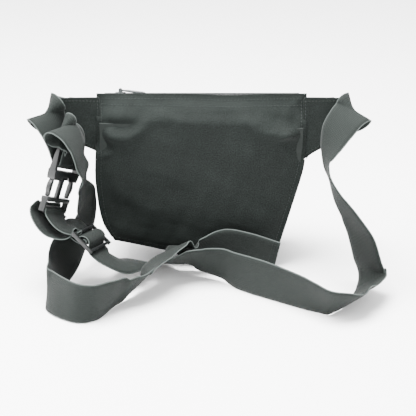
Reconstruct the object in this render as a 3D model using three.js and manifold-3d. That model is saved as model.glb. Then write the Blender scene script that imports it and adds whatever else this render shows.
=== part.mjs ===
// A soft waist pack: a zipped bag with a zipped front pocket, two webbing belts, a side-release
// buckle and a strap adjuster. Millimetres, +Z up, +Y towards the front pocket, +X to the
// wearer's-side right. The bag stands on z = 0 with its belts lying round it.

import * as THREE from "three";
import { mergeVertices } from "three/addons/utils/BufferGeometryUtils.js";
import Module from "manifold-3d";

const wasm = await Module();
wasm.setup();

// Driving dimensions.
const BAG_HEIGHT = 172;
const WEBBING_WIDTH = 38;
const WEBBING_THICK = 1.5;
const FABRIC = 1.6;
const FOAM = 4;
const LINING = 0.8;
const GAP = 0.4;
const BAR_RADIUS = 1.6;

// Places that follow from them.
const BACK_Y = -37;
const LAYERS = FABRIC + FOAM + LINING + 3 * GAP;
const INNER_BACK_Y = BACK_Y + LAYERS;

const COLOURS = {
  fabric: { color: 0x2f3432, roughness: 0.85, metalness: 0 },
  lining: { color: 0x3a3e3d, roughness: 0.7, metalness: 0 },
  foam: { color: 0x56595a, roughness: 0.95, metalness: 0 },
  webbing: { color: 0x474e4b, roughness: 0.8, metalness: 0 },
  plastic: { color: 0x2b2e2e, roughness: 0.4, metalness: 0 },
  metal: { color: 0x3c3f40, roughness: 0.35, metalness: 0.8 },
};

const bag = new THREE.Group();

function addMesh(name, geometry, colour, parent = bag) {
  const mesh = new THREE.Mesh(geometry, new THREE.MeshStandardMaterial(COLOURS[colour]));
  mesh.name = name;
  parent.add(mesh);
  return mesh;
}

// ---- Solids -------------------------------------------------------------------------------

function indexed(points, triangles) {
  const geometry = new THREE.BufferGeometry();
  geometry.setAttribute("position", new THREE.Float32BufferAttribute(points.flat(), 3));
  geometry.setIndex(triangles.flat());
  return geometry;
}

// A closed plate between two grids of points with the same rows and columns. The outer grid is
// seen with its rows running up and its columns to the right.
function plate(outer, inner) {
  const rows = outer.length;
  const columns = outer[0].length;
  const points = [...outer.flat(), ...inner.flat()];
  const behind = rows * columns;
  const at = (i, j) => i * columns + j;
  const triangles = [];
  const quad = (a, b, c, d) => triangles.push([a, b, c], [a, c, d]);
  for (let i = 0; i < rows - 1; i++) {
    for (let j = 0; j < columns - 1; j++) {
      const corners = [at(i, j), at(i, j + 1), at(i + 1, j + 1), at(i + 1, j)];
      quad(...corners);
      quad(...corners.map((k) => k + behind).reverse());
    }
  }
  const rim = [];
  for (let j = 0; j < columns - 1; j++) rim.push(at(0, j));
  for (let i = 0; i < rows - 1; i++) rim.push(at(i, columns - 1));
  for (let j = columns - 1; j > 0; j--) rim.push(at(rows - 1, j));
  for (let i = rows - 1; i > 0; i--) rim.push(at(i, 0));
  rim.forEach((a, k) => {
    const b = rim[(k + 1) % rim.length];
    quad(a, a + behind, b + behind, b);
  });
  return indexed(points, triangles);
}

// A closed solid swept through four-cornered stations, each a list of four points.
function sweep(stations) {
  const triangles = [];
  const quad = (a, b, c, d) => triangles.push([a, b, c], [a, c, d]);
  const last = 4 * (stations.length - 1);
  for (let i = 0; i < stations.length - 1; i++) {
    for (let k = 0; k < 4; k++) {
      const a = 4 * i + k;
      const b = 4 * i + ((k + 1) % 4);
      quad(a, b, b + 4, a + 4);
    }
  }
  quad(3, 2, 1, 0);
  quad(last, last + 1, last + 2, last + 3);
  return indexed(stations.flat(), triangles);
}

function toManifold(geometry) {
  const bare = geometry.clone();
  bare.deleteAttribute("normal");
  bare.deleteAttribute("uv");
  const merged = mergeVertices(bare, 1e-4);
  return new wasm.Manifold(
    new wasm.Mesh({
      numProp: 3,
      vertProperties: new Float32Array(merged.attributes.position.array),
      triVerts: new Uint32Array(merged.index.array),
    }),
  );
}

function fromManifold(solid) {
  const mesh = solid.getMesh();
  const geometry = new THREE.BufferGeometry();
  const positions = new Float32Array(mesh.numVert * 3);
  for (let i = 0; i < mesh.numVert; i++) {
    positions.set(mesh.vertProperties.subarray(i * mesh.numProp, i * mesh.numProp + 3), 3 * i);
  }
  geometry.setAttribute("position", new THREE.BufferAttribute(positions, 3));
  geometry.setIndex(Array.from(mesh.triVerts));
  return geometry;
}

function joined(...geometries) {
  return fromManifold(geometries.map(toManifold).reduce((whole, piece) => whole.add(piece)));
}

function without(geometry, ...holes) {
  return fromManifold(holes.map(toManifold).reduce((whole, hole) => whole.subtract(hole), toManifold(geometry)));
}

function box(x, y, z) {
  const size = [x, y, z].map(([low, high]) => high - low);
  const middle = [x, y, z].map(([low, high]) => (low + high) / 2);
  return new THREE.BoxGeometry(...size).translate(...middle);
}

// A rod along the first axis.
function rod(radius, x, y, z, sides = 12) {
  const geometry = new THREE.CylinderGeometry(radius, radius, x[1] - x[0], sides);
  return geometry.rotateZ(-Math.PI / 2).translate((x[0] + x[1]) / 2, y, z);
}

// A flat piece cut from an outline in the first two axes.
function cutOut(outline, z) {
  const shape = new THREE.Shape(outline.map(([x, y]) => new THREE.Vector2(x, y)));
  const depth = z[1] - z[0];
  return new THREE.ExtrudeGeometry(shape, { depth, bevelEnabled: false }).translate(0, 0, z[0]);
}

// ---- Curves -------------------------------------------------------------------------------

const lerp = THREE.MathUtils.lerp;
const smooth = THREE.MathUtils.smoothstep;

function steps(count) {
  return Array.from({ length: count + 1 }, (_, i) => i / count);
}

// A value read off a short table of [place, value] pairs.
function along(table, place) {
  const next = Math.max(1, table.findIndex(([p]) => p >= place));
  const k = place > table[table.length - 1][0] ? table.length - 1 : next;
  const [a, b] = [table[k - 1], table[k]];
  return lerp(a[1], b[1], THREE.MathUtils.clamp((place - a[0]) / (b[0] - a[0]), 0, 1));
}

// ---- The bag's shape ----------------------------------------------------------------------

// The back panel's two sides, from the bottom up, as [share of the height, x].
const LEFT_SIDE = [[0, -84], [0.12, -94], [0.25, -97.5], [0.45, -100], [0.6, -99], [0.7, -98], [1, -98]];
const RIGHT_SIDE = [[0, 68], [0.12, 76], [0.25, 82.5], [0.45, 92], [0.6, 99], [0.7, 101], [1, 102]];
// The front's distance forward at each share of the height.
const FRONT = [[0, 31], [0.12, 37], [0.3, 41], [0.5, 40], [0.72, 33], [0.86, 16], [1, -1]];
const TOP_FOLD = 0.86;
const RIDGE_Y = -22.5;

// The soft base is lifted off the ground along its left rear edge.
function liftAt(x) {
  const t = THREE.MathUtils.clamp((32 - x) / 118, 0, 1);
  return 30 * (t + 0.07 * Math.sin(Math.PI * t));
}

// A point between the sides: u from left to right, v from the bottom to the top.
function spot(u, v, inset = 0) {
  const x = lerp(along(LEFT_SIDE, v) + inset, along(RIGHT_SIDE, v) - inset, u);
  return [x, lerp(liftAt(x), BAG_HEIGHT, v)];
}

function backY(v) {
  return lerp(BACK_Y, RIDGE_Y, smooth(v, TOP_FOLD, 1));
}

function grid(us, vs, place) {
  return vs.map((v) => us.map((u) => place(u, v)));
}

function backLayer(near, thickness, vs, inset) {
  const layer = (offset) =>
    grid(steps(12), vs, (u, v) => {
      const [x, z] = spot(u, v, inset);
      return [x, backY(v) + offset, z + 0.5];
    });
  return plate(layer(near), layer(near + thickness));
}

const FOAM_VS = steps(8).map((v) => 0.03 + 0.81 * v);
addMesh("back_panel", backLayer(0, FABRIC, steps(14), 0), "fabric");
addMesh("back_foam", backLayer(FABRIC + GAP, FOAM, FOAM_VS, 3), "foam");
addMesh("back_lining", backLayer(FABRIC + FOAM + 2 * GAP, LINING, FOAM_VS, 2.4), "lining");

// The front wall and the top wall share one profile; the zip sits between the top wall and the back.
function frontPoint(u, v, inset = 0) {
  const [x] = spot(u, v);
  const z = lerp(0.8, BAG_HEIGHT, v);
  return [x, along(FRONT, v) - inset, z];
}

function frontWall(vs, thickness) {
  const outer = grid(steps(12), vs, (u, v) => frontPoint(1 - u, v));
  const inner = grid(steps(12), vs, (u, v) => {
    const [x, y, z] = frontPoint(1 - u, v, thickness);
    return [x, y, z - 0.6 * thickness * smooth(v, 0.6, 0.8)];
  });
  return plate(outer, inner);
}

const LOWER_VS = steps(8).map((v) => 0.01 + 0.7 * v);
const UPPER_VS = steps(6).map((v) => 0.72 + 0.25 * v);
addMesh("front_panel", frontWall(LOWER_VS, FABRIC), "fabric");
addMesh("top_panel", frontWall(UPPER_VS, FABRIC), "fabric");

// Side gussets run from the back panel round to the front.
function gusset(side, direction) {
  const edge = (offset) => (w, v) => {
    const [x, z] = spot(side === LEFT_SIDE ? 0 : 1, v);
    const from = backY(v) + LAYERS;
    const to = along(FRONT, z / BAG_HEIGHT) - 3.4 * FABRIC;
    return [x + direction * offset, lerp(from, Math.max(to, from + 1), w), z + 1];
  };
  const vs = steps(10).map((v) => 0.02 + 0.88 * v);
  const ws = direction > 0 ? steps(5).map((w) => 1 - w) : steps(5);
  return plate(grid(ws, vs, edge(0.2)), grid(ws, vs, edge(0.2 + FABRIC)));
}

addMesh("left_gusset", gusset(LEFT_SIDE, 1), "fabric");
addMesh("right_gusset", gusset(RIGHT_SIDE, -1), "fabric");

// The base touches the ground along its front, and along the right.
function baseLayer(offset) {
  return grid(steps(10), steps(6), (u, w) => {
    const x = lerp(LEFT_SIDE[0][1] + 2.5, RIGHT_SIDE[0][1] - 1, u);
    const y = lerp(INNER_BACK_Y, FRONT[0][1] - 2 * FABRIC, w);
    const lift = liftAt(x) * (1 - smooth(w, 0, 0.72));
    return [x, y, lift + offset];
  });
}

addMesh("base_panel", plate(baseLayer(FABRIC), baseLayer(0)), "fabric");

// ---- Wings --------------------------------------------------------------------------------

const WING_TIP_LOW = BAG_HEIGHT - 37;
const WING_TOP = BAG_HEIGHT + 1.5;

// A wing's outline, from the bag out to the tip, for the left and the right.
const LEFT_WING = { root: -98.8, tip: -131, low: BAG_HEIGHT - 53 };
const RIGHT_WING = { root: 102.8, tip: 135, low: BAG_HEIGHT - 60 };

function wingLayer(wing, nearY, tip = wing.tip) {
  const flare = Math.sign(nearY + FABRIC / 2 - WEBBING_Y) * 2.6;
  const layer = (y) =>
    grid(steps(6), steps(6), (u, v) => {
      const out = wing.tip < 0 ? 1 - u : u;
      const low = lerp(wing.low, WING_TIP_LOW, Math.pow(out, 0.8));
      return [lerp(wing.root, tip, out), y + flare * out ** 3, lerp(low, WING_TOP, v)];
    });
  return plate(layer(nearY), layer(nearY + FABRIC));
}

const WEBBING_Y = -29.5;
const WING_CLEAR = WEBBING_THICK / 2 + GAP;
for (const [side, wing] of [["left", LEFT_WING], ["right", RIGHT_WING]]) {
  addMesh(`${side}_wing_rear`, wingLayer(wing, WEBBING_Y - WING_CLEAR - FABRIC), "fabric");
  const frontTip = wing.tip - 8 * Math.sign(wing.tip);
  addMesh(`${side}_wing_front`, wingLayer(wing, WEBBING_Y + WING_CLEAR, frontTip), "fabric");
}

// ---- Zips ---------------------------------------------------------------------------------

const COIL_INNER = 0.6;
const COIL_WIDTH = 1.3;
const TAPE_INNER = COIL_INNER + COIL_WIDTH + GAP;
const TAPE_THICK = 0.8;

// A closed zip along the first axis, its face towards the third.
function addZip(prefix, parent, half, tapeWidth) {
  const rows = { rear: -1, front: 1 };
  for (const [row, sign] of Object.entries(rows)) {
    const span = (a, b) => [sign * a, sign * b].sort((p, q) => p - q);
    const tape = box([-half, half], span(TAPE_INNER, TAPE_INNER + tapeWidth), [-TAPE_THICK / 2, TAPE_THICK / 2]);
    const coil = box([-half + 3, half - 3], span(COIL_INNER, COIL_INNER + COIL_WIDTH), [-0.7, 0.7]);
    addMesh(`${prefix}_tape_${row}`, tape, "fabric", parent);
    addMesh(`${prefix}_coil_${row}`, coil, "plastic", parent);
  }
  for (const [end, sign] of [["left", -1], ["right", 1]]) {
    const x = [sign * (half - 2.6), sign * (half - 1)].sort((p, q) => p - q);
    addMesh(`${prefix}_stop_${end}`, box(x, [-2, 2], [-1, 1.2]), "metal", parent);
  }
}

const SLIDER_TOP = 2.6;
const BAIL_HEIGHT = 4.8;

// A slider: two plates joined through the gap between the coils, and a bail for the puller.
function slider() {
  const plates = joined(
    cutOut([[-5, -3.2], [3, -3.9], [5, -2.4], [5, 2.4], [3, 3.9], [-5, 3.2]], [1.5, SLIDER_TOP]),
    box([-4.5, 4.5], [-3.4, 3.4], [-2.2, -1.2]),
    box([-4, 3], [-0.3, 0.3], [-1.3, 1.6]),
  );
  const foot = SLIDER_TOP - 0.2;
  const head = BAIL_HEIGHT + 0.9;
  const cheek = (y) =>
    cutOut([[-2.2, foot], [2.2, foot], [1, head], [-1, head]], [-0.45, 0.45])
      .rotateX(Math.PI / 2)
      .translate(0, y, 0);
  const bail = rod(0.7, [-2.3, 2.3], 0, 0).rotateZ(Math.PI / 2).translate(0, 0, BAIL_HEIGHT);
  return joined(plates, cheek(-2.3), cheek(2.3), bail);
}

// A puller hung on the bail at the origin, its tab along +X.
function puller(length, width) {
  const across = (radius, reach) => rod(radius, [-reach, reach], 0, 0).rotateZ(Math.PI / 2);
  const eye = without(across(1.9, 1.5), across(1.05, 2));
  const half = width / 2;
  const tab = cutOut(
    [[1.5, -1.5], [4, -1.5], [6, -half], [length - 2, -half], [length, -half + 2], [length, half - 2],
      [length - 2, half], [6, half], [4, 1.5], [1.5, 1.5]],
    [-0.6, 0.6],
  );
  return joined(eye, without(tab, box([length - 5, length - 2.5], [-half + 2, half - 2], [-1, 1])));
}

const MAIN_ZIP = { half: 94, y: -10, z: BAG_HEIGHT - 1.4, slope: -0.12 };
MAIN_ZIP.slider = 16 - MAIN_ZIP.half;
const mainZip = new THREE.Group();
mainZip.position.set(2, MAIN_ZIP.y, MAIN_ZIP.z);
mainZip.rotation.x = MAIN_ZIP.slope;
bag.add(mainZip);
addZip("main_zip", mainZip, MAIN_ZIP.half, 7.8);
addMesh("main_zip_slider", slider().translate(MAIN_ZIP.slider, 0, 0), "metal", mainZip);

const PULLER_DROOP = 0.12;
const mainPuller = addMesh("main_zip_puller", puller(24, 7), "metal", mainZip);
mainPuller.position.set(MAIN_ZIP.slider, 0, BAIL_HEIGHT);
mainPuller.rotation.y = PULLER_DROOP;

// ---- Front pocket -------------------------------------------------------------------------

const POCKET = { left: -68, right: 62, low: 14, high: 92, stand: 9 };

function pocketPoint(u, w, offset) {
  const x = lerp(POCKET.right, POCKET.left, u);
  const z = lerp(POCKET.low, POCKET.high, w);
  const swell =
    POCKET.stand * Math.sin(Math.PI * Math.min(w, 0.9)) ** 0.5 * Math.max(Math.sin(Math.PI * u), 0) ** 0.35;
  return [x, along(FRONT, z / BAG_HEIGHT) + GAP + 0.3 + Math.max(swell, 0) + offset, z];
}

const pocketLayer = (offset) => grid(steps(12), steps(8), (u, w) => pocketPoint(u, w, offset));
addMesh("pocket_panel", plate(pocketLayer(FABRIC), pocketLayer(0)), "fabric");

const POCKET_ZIP = { half: 60, y: 48.4, z: POCKET.high + 5, slope: -Math.PI / 2 };
POCKET_ZIP.slider = POCKET_ZIP.half - 12;
const pocketZip = new THREE.Group();
pocketZip.position.set(-3, POCKET_ZIP.y, POCKET_ZIP.z);
pocketZip.rotation.x = POCKET_ZIP.slope;
bag.add(pocketZip);
addZip("pocket_zip", pocketZip, POCKET_ZIP.half, 2.4);
addMesh("pocket_zip_slider", slider().translate(POCKET_ZIP.slider, 0, 0), "metal", pocketZip);
const pocketPuller = addMesh("pocket_zip_puller", puller(20, 6), "metal", pocketZip);
pocketPuller.position.set(POCKET_ZIP.slider, 0, BAIL_HEIGHT);
pocketPuller.rotation.y = Math.PI - PULLER_DROOP;

// The pocket's gusset closes it above the zip, down to the front panel.
function hoodPoint(u, w, offset) {
  const x = lerp(POCKET.right, POCKET.left, u);
  const z = lerp(POCKET_ZIP.z + 5.2, POCKET_ZIP.z + 18, w);
  const seat = along(FRONT, z / BAG_HEIGHT) + GAP + 0.3;
  return [x, lerp(Math.max(POCKET_ZIP.y - 1, seat), seat, w) + offset, z];
}

const hoodLayer = (offset) => grid(steps(8), steps(4), (u, w) => hoodPoint(u, w, offset));
addMesh("pocket_hood", plate(hoodLayer(FABRIC), hoodLayer(0)), "fabric");

// ---- Buckle and adjuster ------------------------------------------------------------------

// A group whose three axes are given directions, for parts that hang at an angle.
function frameGroup(origin, along, across) {
  const second = new THREE.Vector3(...along).normalize();
  const first = new THREE.Vector3(...across);
  first.addScaledVector(second, -first.dot(second)).normalize();
  const third = new THREE.Vector3().crossVectors(first, second);
  const group = new THREE.Group();
  group.position.set(...origin);
  group.quaternion.setFromRotationMatrix(new THREE.Matrix4().makeBasis(first, second, third));
  bag.add(group);
  return group;
}

// The buckle hangs down and to the left; its first axis runs across it, from the rail nearest the
// wearer's side to the far one, and its second axis from the receiver's tip to the plug's end.
const BUCKLE_TIP = [-120.9, -51.4, 129.2];
const BUCKLE_ALONG = [-0.3, -0.3, -0.905];
const BUCKLE_ACROSS = [0.38, 0.86, -0.34];
const buckle = frameGroup(BUCKLE_TIP, BUCKLE_ALONG, BUCKLE_ACROSS);

const RAIL_INNER = WEBBING_WIDTH / 2 + 1.2;
const RECEIVER_HALF = RAIL_INNER + 4;
const BAR_AT = 15;
const SLOT_END = 21;
const MOUTH = 30;
const THROAT_HALF = 20.9;
const LEDGE = 26;
const WALL_HALF = 4;

function receiver() {
  const wedge = (sign) => {
    const x = [sign * RAIL_INNER, sign * RECEIVER_HALF].sort((p, q) => p - q);
    const side = cutOut([[0, -1.5], [SLOT_END + 0.6, -3.4], [SLOT_END + 0.6, 3.4], [0, 1.5]], x);
    // The outline's axes are the buckle's second and third, so it is turned to stand on the first.
    return side.applyMatrix4(new THREE.Matrix4().makeBasis(
      new THREE.Vector3(0, 1, 0), new THREE.Vector3(0, 0, 1), new THREE.Vector3(1, 0, 0),
    ));
  };
  const housing = cutOut(
    [[-RECEIVER_HALF, SLOT_END], [RECEIVER_HALF, SLOT_END], [RECEIVER_HALF - 1, MOUTH - 3],
      [RECEIVER_HALF - 2.4, MOUTH], [8, MOUTH], [5, MOUTH - 3.5], [-5, MOUTH - 3.5], [-8, MOUTH],
      [2.4 - RECEIVER_HALF, MOUTH], [1 - RECEIVER_HALF, MOUTH - 3]],
    [-WALL_HALF, WALL_HALF],
  );
  const hollow = box([-THROAT_HALF, THROAT_HALF], [SLOT_END - 1, MOUTH + 1], [-2.5, 2.5]);
  const recess = box([-22.3, 22.3], [SLOT_END - 1, LEDGE], [-2.5, 2.5]);
  const shell = without(housing, hollow, recess);
  return joined(wedge(-1), wedge(1), shell, rod(BAR_RADIUS + 0.1, [-RAIL_INNER - 1, RAIL_INNER + 1], BAR_AT, 0));
}

addMesh("buckle_receiver", receiver(), "plastic", buckle);

const PLUG = { guideTip: 24, base: 47, block: 51, bar: 57, end: 61, half: 22.2 };

function plug() {
  const inner = WEBBING_WIDTH / 2 + 0.9;
  const block = box([-PLUG.half, PLUG.half], [PLUG.base, PLUG.block], [-3.3, 3.3]);
  const tip = PLUG.guideTip;
  const guide = cutOut(
    [[-3, PLUG.base + 1], [-3, tip + 3], [-1.6, tip], [1.6, tip], [3, tip + 3], [3, PLUG.base + 1]],
    [-1.5, 1.5],
  );
  const rail = (sign) => {
    const x = [sign * inner, sign * PLUG.half].sort((p, q) => p - q);
    return box(x, [PLUG.block - 1, PLUG.end], [-2.8, 2.8]);
  };
  return joined(block, guide, rail(-1), rail(1), rod(BAR_RADIUS, [-inner - 1, inner + 1], PLUG.bar, 0));
}

addMesh("buckle_plug", plug(), "plastic", buckle);

// Each arm turns on the round root beside the plug's base.
const ARM_ROOT = { across: 18.8, along: 45, radius: 1.6 };

function arm() {
  const blade = cutOut(
    [[17.2, 45], [17.2, 41], [17.4, 31], [17.9, 22.8], [19.6, 22.1], [21.2, 22.9], [21.2, 23.4], [20.2, 24.4], [20.2, 30],
      [21.4, 32], [22.4, 35], [22.4, 39], [21.2, 41.5], [20.4, 43], [20.4, 45]],
    [-2, 2],
  );
  const root = new THREE.CylinderGeometry(ARM_ROOT.radius, ARM_ROOT.radius, 4, 16);
  root.rotateX(Math.PI / 2).translate(ARM_ROOT.across, ARM_ROOT.along, 0);
  return joined(blade, root);
}

addMesh("plug_arm_far", arm(), "plastic", buckle);
addMesh("plug_arm_near", fromManifold(toManifold(arm()).mirror([1, 0, 0])), "plastic", buckle);

// The strap adjuster lies on the doubled belt below the plug.
const ADJUSTER_START = [-111.2, -73.6, 58.2];
const ADJUSTER_ALONG = [0.7, -0.36, -0.615];
const ADJUSTER_ACROSS = [0.31, 0.93, -0.19];
const ADJUSTER = { length: 26, inner: 20, outer: 23, thick: 3.2, bars: [2, 13, 24] };
const adjuster = frameGroup(ADJUSTER_START, ADJUSTER_ALONG, ADJUSTER_ACROSS);

function adjusterFrame() {
  const rail = (sign) => {
    const x = [sign * ADJUSTER.inner, sign * ADJUSTER.outer].sort((p, q) => p - q);
    return box(x, [0, ADJUSTER.length], [-1.6, 1.6]);
  };
  const bars = ADJUSTER.bars.map((at) => rod(1.5, [-ADJUSTER.inner - 1, ADJUSTER.inner + 1], at, 0));
  return joined(rail(-1), rail(1), ...bars);
}

addMesh("strap_adjuster", adjusterFrame(), "plastic", adjuster);

// ---- Belts --------------------------------------------------------------------------------

// Each belt's route, chosen by hand: the webbing's middle, then the direction across it.
// The left belt runs from its wing round the receiver's bar, and its free tail lies in front of
// the bag and up against the back panel.
const LEFT_ROUTE = [
  [-114, -29.5, 152.5, 0, 0.02, 1],
  [-122, -29.5, 153, -0.02, 0.05, 1],
  [-130, -29.3, 154, -0.03, 0.06, 1],
  [-132.5, -29.5, 154.8, -0.03, 0.12, 0.99],
  [-138.5, -33, 158.5, 0.1, 0.6, 0.75],
  [-142.8, -41, 163, 0.36, 0.77, 0.53],
  [-143, -48.5, 164.8, 0.46, 0.76, 0.46],
  [-139.9, -52.5, 160.4, 0.46, 0.82, 0.35],
  [-134.9, -55.6, 150.6, 0.47, 0.86, 0.18],
  [-131.4, -56, 140, 0.44, 0.88, 0],
  [-128, -50.5, 124.7, 0.36, 0.84, -0.4],
  [-127.2, -53.1, 119.8, 0.36, 0.84, -0.4],
  [-128, -54.6, 116.1, 0.36, 0.84, -0.4],
  [-127.8, -55.7, 113.9, 0.36, 0.84, -0.4],
  [-126.3, -56.8, 112.9, 0.36, 0.84, -0.4],
  [-124.4, -57.4, 113.4, 0.36, 0.84, -0.4],
  [-122.9, -57.2, 115.2, 0.36, 0.84, -0.4],
  [-121.5, -55.6, 119.8, 0.36, 0.84, -0.4],
  [-119.5, -53.4, 126.1, 0.36, 0.84, -0.4],
  [-117.4, -51.3, 132.5, 0.36, 0.84, -0.4],
  [-119.5, -54.5, 141.5, 0.46, 0.86, -0.2],
  [-125.3, -58.5, 148.6, 0.5, 0.84, -0.1],
  [-129, -61.3, 153.2, 0.55, 0.83, -0.03],
  [-127.2, -63.6, 155, 0.52, 0.85, -0.04],
  [-122.6, -65.4, 153.4, 0.46, 0.88, -0.05],
  [-117.4, -67.7, 148.2, 0.39, 0.91, -0.13],
  [-113.5, -68.3, 140.7, 0.31, 0.93, -0.19],
  [-111.1, -68.8, 132.5, 0.22, 0.96, -0.18],
  [-109.71, -66.03, 123.14, 0.12, 0.96, -0.27],
  [-108.3, -60.62, 110.12, 0, 0.95, -0.32],
  [-110.61, -55.6, 97.68, 0, 0.94, -0.35],
  [-112.21, -50.21, 82.81, 0.08, 0.93, -0.36],
  [-111.43, -33.72, 66.48, 0.26, 0.88, -0.38],
  [-114.79, -28.35, 45.16, 0.48, 0.82, -0.32],
  [-126.83, -47.89, 28.52, 0.7, 0.62, -0.35],
  [-133.9, -74.7, 21.08, 0.51, 0.46, -0.73],
  [-138.01, -101.75, 19.38, 0.15, 0.2, -0.96],
  [-140.2, -119, 19.6, -0.04, -0.11, -0.99],
  [-136.9, -127.6, 19.3, -0.07, -0.36, -0.93],
  [-125.2, -142.2, 19.4, -0.04, -0.3, -0.95],
  [-109, -154.3, 19.5, 0, -0.1, -0.99],
  [-95.1, -154.2, 19.5, 0.01, 0.1, -1],
  [-81.8, -141.4, 18.2, 0, 0.39, -0.92],
  [-71.7, -127, 15.8, -0.09, 0.57, -0.82],
  [-61.7, -116.4, 18.5, -0.1, 0.72, -0.69],
  [-53.9, -109.3, 20.5, -0.1, 0.82, -0.56],
  [-51.1, -103.7, 21.2, -0.21, 0.86, -0.47],
  [-48.1, -99.8, 25.1, -0.38, 0.8, -0.47],
  [-43.8, -94, 28.2, -0.45, 0.79, -0.42],
  [-37.3, -83.2, 30.7, -0.46, 0.83, -0.32],
  [-31, -74.9, 33.1, -0.39, 0.85, -0.36],
  [-24.5, -66.4, 33.9, -0.27, 0.87, -0.41],
  [-19.1, -59.1, 34, -0.18, 0.89, -0.42],
  [-9, -54.3, 26.9, 0, 0.62, -0.79],
  [5.6, -51.4, 25.5, 0.01, 0.35, -0.94],
  [22.1, -48.4, 28, 0.03, 0.02, -1],
  [30, -48.2, 28.2, 0.03, 0.02, -1],
  [48.8, -52.3, 25.6, 0, 0.02, -1],
  [74, -60.6, 20, -0.08, 0, -1],

];

// The right belt runs from its wing along the ground to the adjuster, over it, round the plug's
// bar and back to the adjuster's middle bar.
const RIGHT_ROUTE = [
  [114, -29.5, 152.5, 0, -0.02, -1],
  [123, -29.5, 153, 0.01, -0.02, -1],
  [131, -29.5, 153.8, 0.02, -0.05, -1],
  [136, -29.6, 155.2, 0.04, -0.15, -0.98],
  [139, -30, 157, 0.2, -0.62, -0.75],
  [144.8, -39, 163, 0.4, -0.8, -0.45],
  [144.8, -45, 165.8, 0.47, -0.82, -0.34],
  [137.1, -53.4, 162.1, 0.57, -0.77, -0.29],
  [127.4, -59, 149.5, 0.57, -0.8, -0.2],
  [121.2, -62.1, 133.6, 0.33, -0.94, 0.1],
  [119.2, -65.5, 122, 0.09, -0.97, 0.22],
  [120, -70, 114, -0.02, -0.95, 0.32],
  [122.3, -73.9, 106.4, -0.04, -0.95, 0.3],
  [130.1, -80.6, 90.2, 0.17, -0.92, 0.36],
  [141, -87.3, 74.4, 0.38, -0.88, 0.28],
  [150.6, -87.5, 57.1, 0.56, -0.8, 0.21],
  [158.2, -86.8, 32.8, 0.58, -0.78, 0.24],
  [163, -85, 17.8, 0.55, -0.78, 0.31],
  [162.1, -93.3, 12.9, 0.49, -0.78, 0.4],
  [156.6, -110.2, 11.3, 0.39, -0.76, 0.52],
  [148.3, -124.3, 10.9, 0.15, -0.84, 0.52],
  [140.3, -137, 11.9, 0.03, -0.82, 0.58],
  [131.1, -145.5, 15, -0.05, -0.67, 0.74],
  [119.1, -149, 17.4, -0.09, -0.5, 0.86],
  [107.8, -141.9, 18.6, -0.06, -0.37, 0.93],
  [97.5, -133.9, 19.2, -0.05, -0.27, 0.96],
  [66, -108.5, 19.7, 0, 0, 1],
  [48, -95, 19.7, 0, 0, 1],
  [34, -84, 19.7, 0, -0.05, 1],
  [22.5, -74.5, 21.8, 0.03, -0.3, 0.96],
  [5.8, -69, 22.7, -0.01, -0.47, 0.88],
  [-9, -67, 23.8, 0, -0.69, 0.73],
  [-26.29, -63.27, 18.75, -0.01, -0.87, 0.49],
  [-47.54, -42.64, 8.83, -0.04, -0.91, 0.41],
  [-60.69, -50.07, 13.51, -0.02, -0.94, 0.34],
  [-72.34, -70.95, 21.92, 0, -0.97, 0.2],
  [-82, -83.5, 29.5, -0.08, -0.98, 0.1],
  [-91.8, -84.6, 36.4, -0.31, -0.93, 0.19],
  [-96.6, -82.1, 40.8, -0.31, -0.93, 0.19],
  [-98, -80.9, 44, -0.31, -0.93, 0.19],
  [-97, -80.5, 47.7, -0.31, -0.93, 0.19],
  [-96.9, -79.8, 51.3, -0.31, -0.93, 0.19],
  [-98.8, -78.6, 54.2, -0.31, -0.93, 0.19],
  [-101.8, -77.3, 55.6, -0.31, -0.93, 0.19],
  [-105.3, -76.2, 55, -0.31, -0.93, 0.19],
  [-108.7, -75.4, 53.3, -0.31, -0.93, 0.19],
  [-112, -74.1, 54.4, -0.31, -0.93, 0.19],
  [-117.7, -71.2, 59.1, -0.31, -0.93, 0.19],
  [-124.5, -75, 61.5, -0.36, -0.9, 0.25],
  [-131, -75.5, 66, -0.38, -0.87, 0.3],
  [-136.4, -71.6, 72.6, -0.36, -0.84, 0.4],
  [-136, -70, 76.3, -0.36, -0.84, 0.4],
  [-137, -69.9, 75.4, -0.36, -0.84, 0.4],
  [-138.9, -69.3, 75.1, -0.36, -0.84, 0.4],
  [-140.4, -68.2, 76, -0.36, -0.84, 0.4],
  [-140.5, -67.2, 78, -0.36, -0.84, 0.4],
  [-140.4, -65.7, 81.3, -0.36, -0.84, 0.4],
  [-145.3, -65.4, 79, -0.36, -0.84, 0.4],
  [-148.7, -69.3, 73.7, -0.37, -0.84, 0.38],
  [-146, -76.5, 67, -0.4, -0.87, 0.28],
  [-138, -78, 59.2, -0.4, -0.87, 0.26],
  [-127.5, -76.5, 54.6, -0.37, -0.9, 0.23],
  [-118.2, -71.8, 55.6, -0.31, -0.93, 0.19],
  [-112.1, -74.7, 51.4, -0.31, -0.93, 0.19],
  [-106.8, -77, 48.9, -0.31, -0.93, 0.19],
  [-103.9, -78.1, 48.1, -0.31, -0.93, 0.19],
  [-101.6, -79, 47.6, -0.31, -0.93, 0.19],
  [-100.2, -79.3, 48.5, -0.31, -0.93, 0.19],
  [-99.5, -79.1, 50.4, -0.31, -0.93, 0.19],
  [-100.3, -78.4, 52.3, -0.31, -0.93, 0.19],
  [-102.3, -77.6, 52.9, -0.31, -0.93, 0.19],

];

const BELT_STEPS = 3;
const REST_HEIGHT = 0.4;

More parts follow.
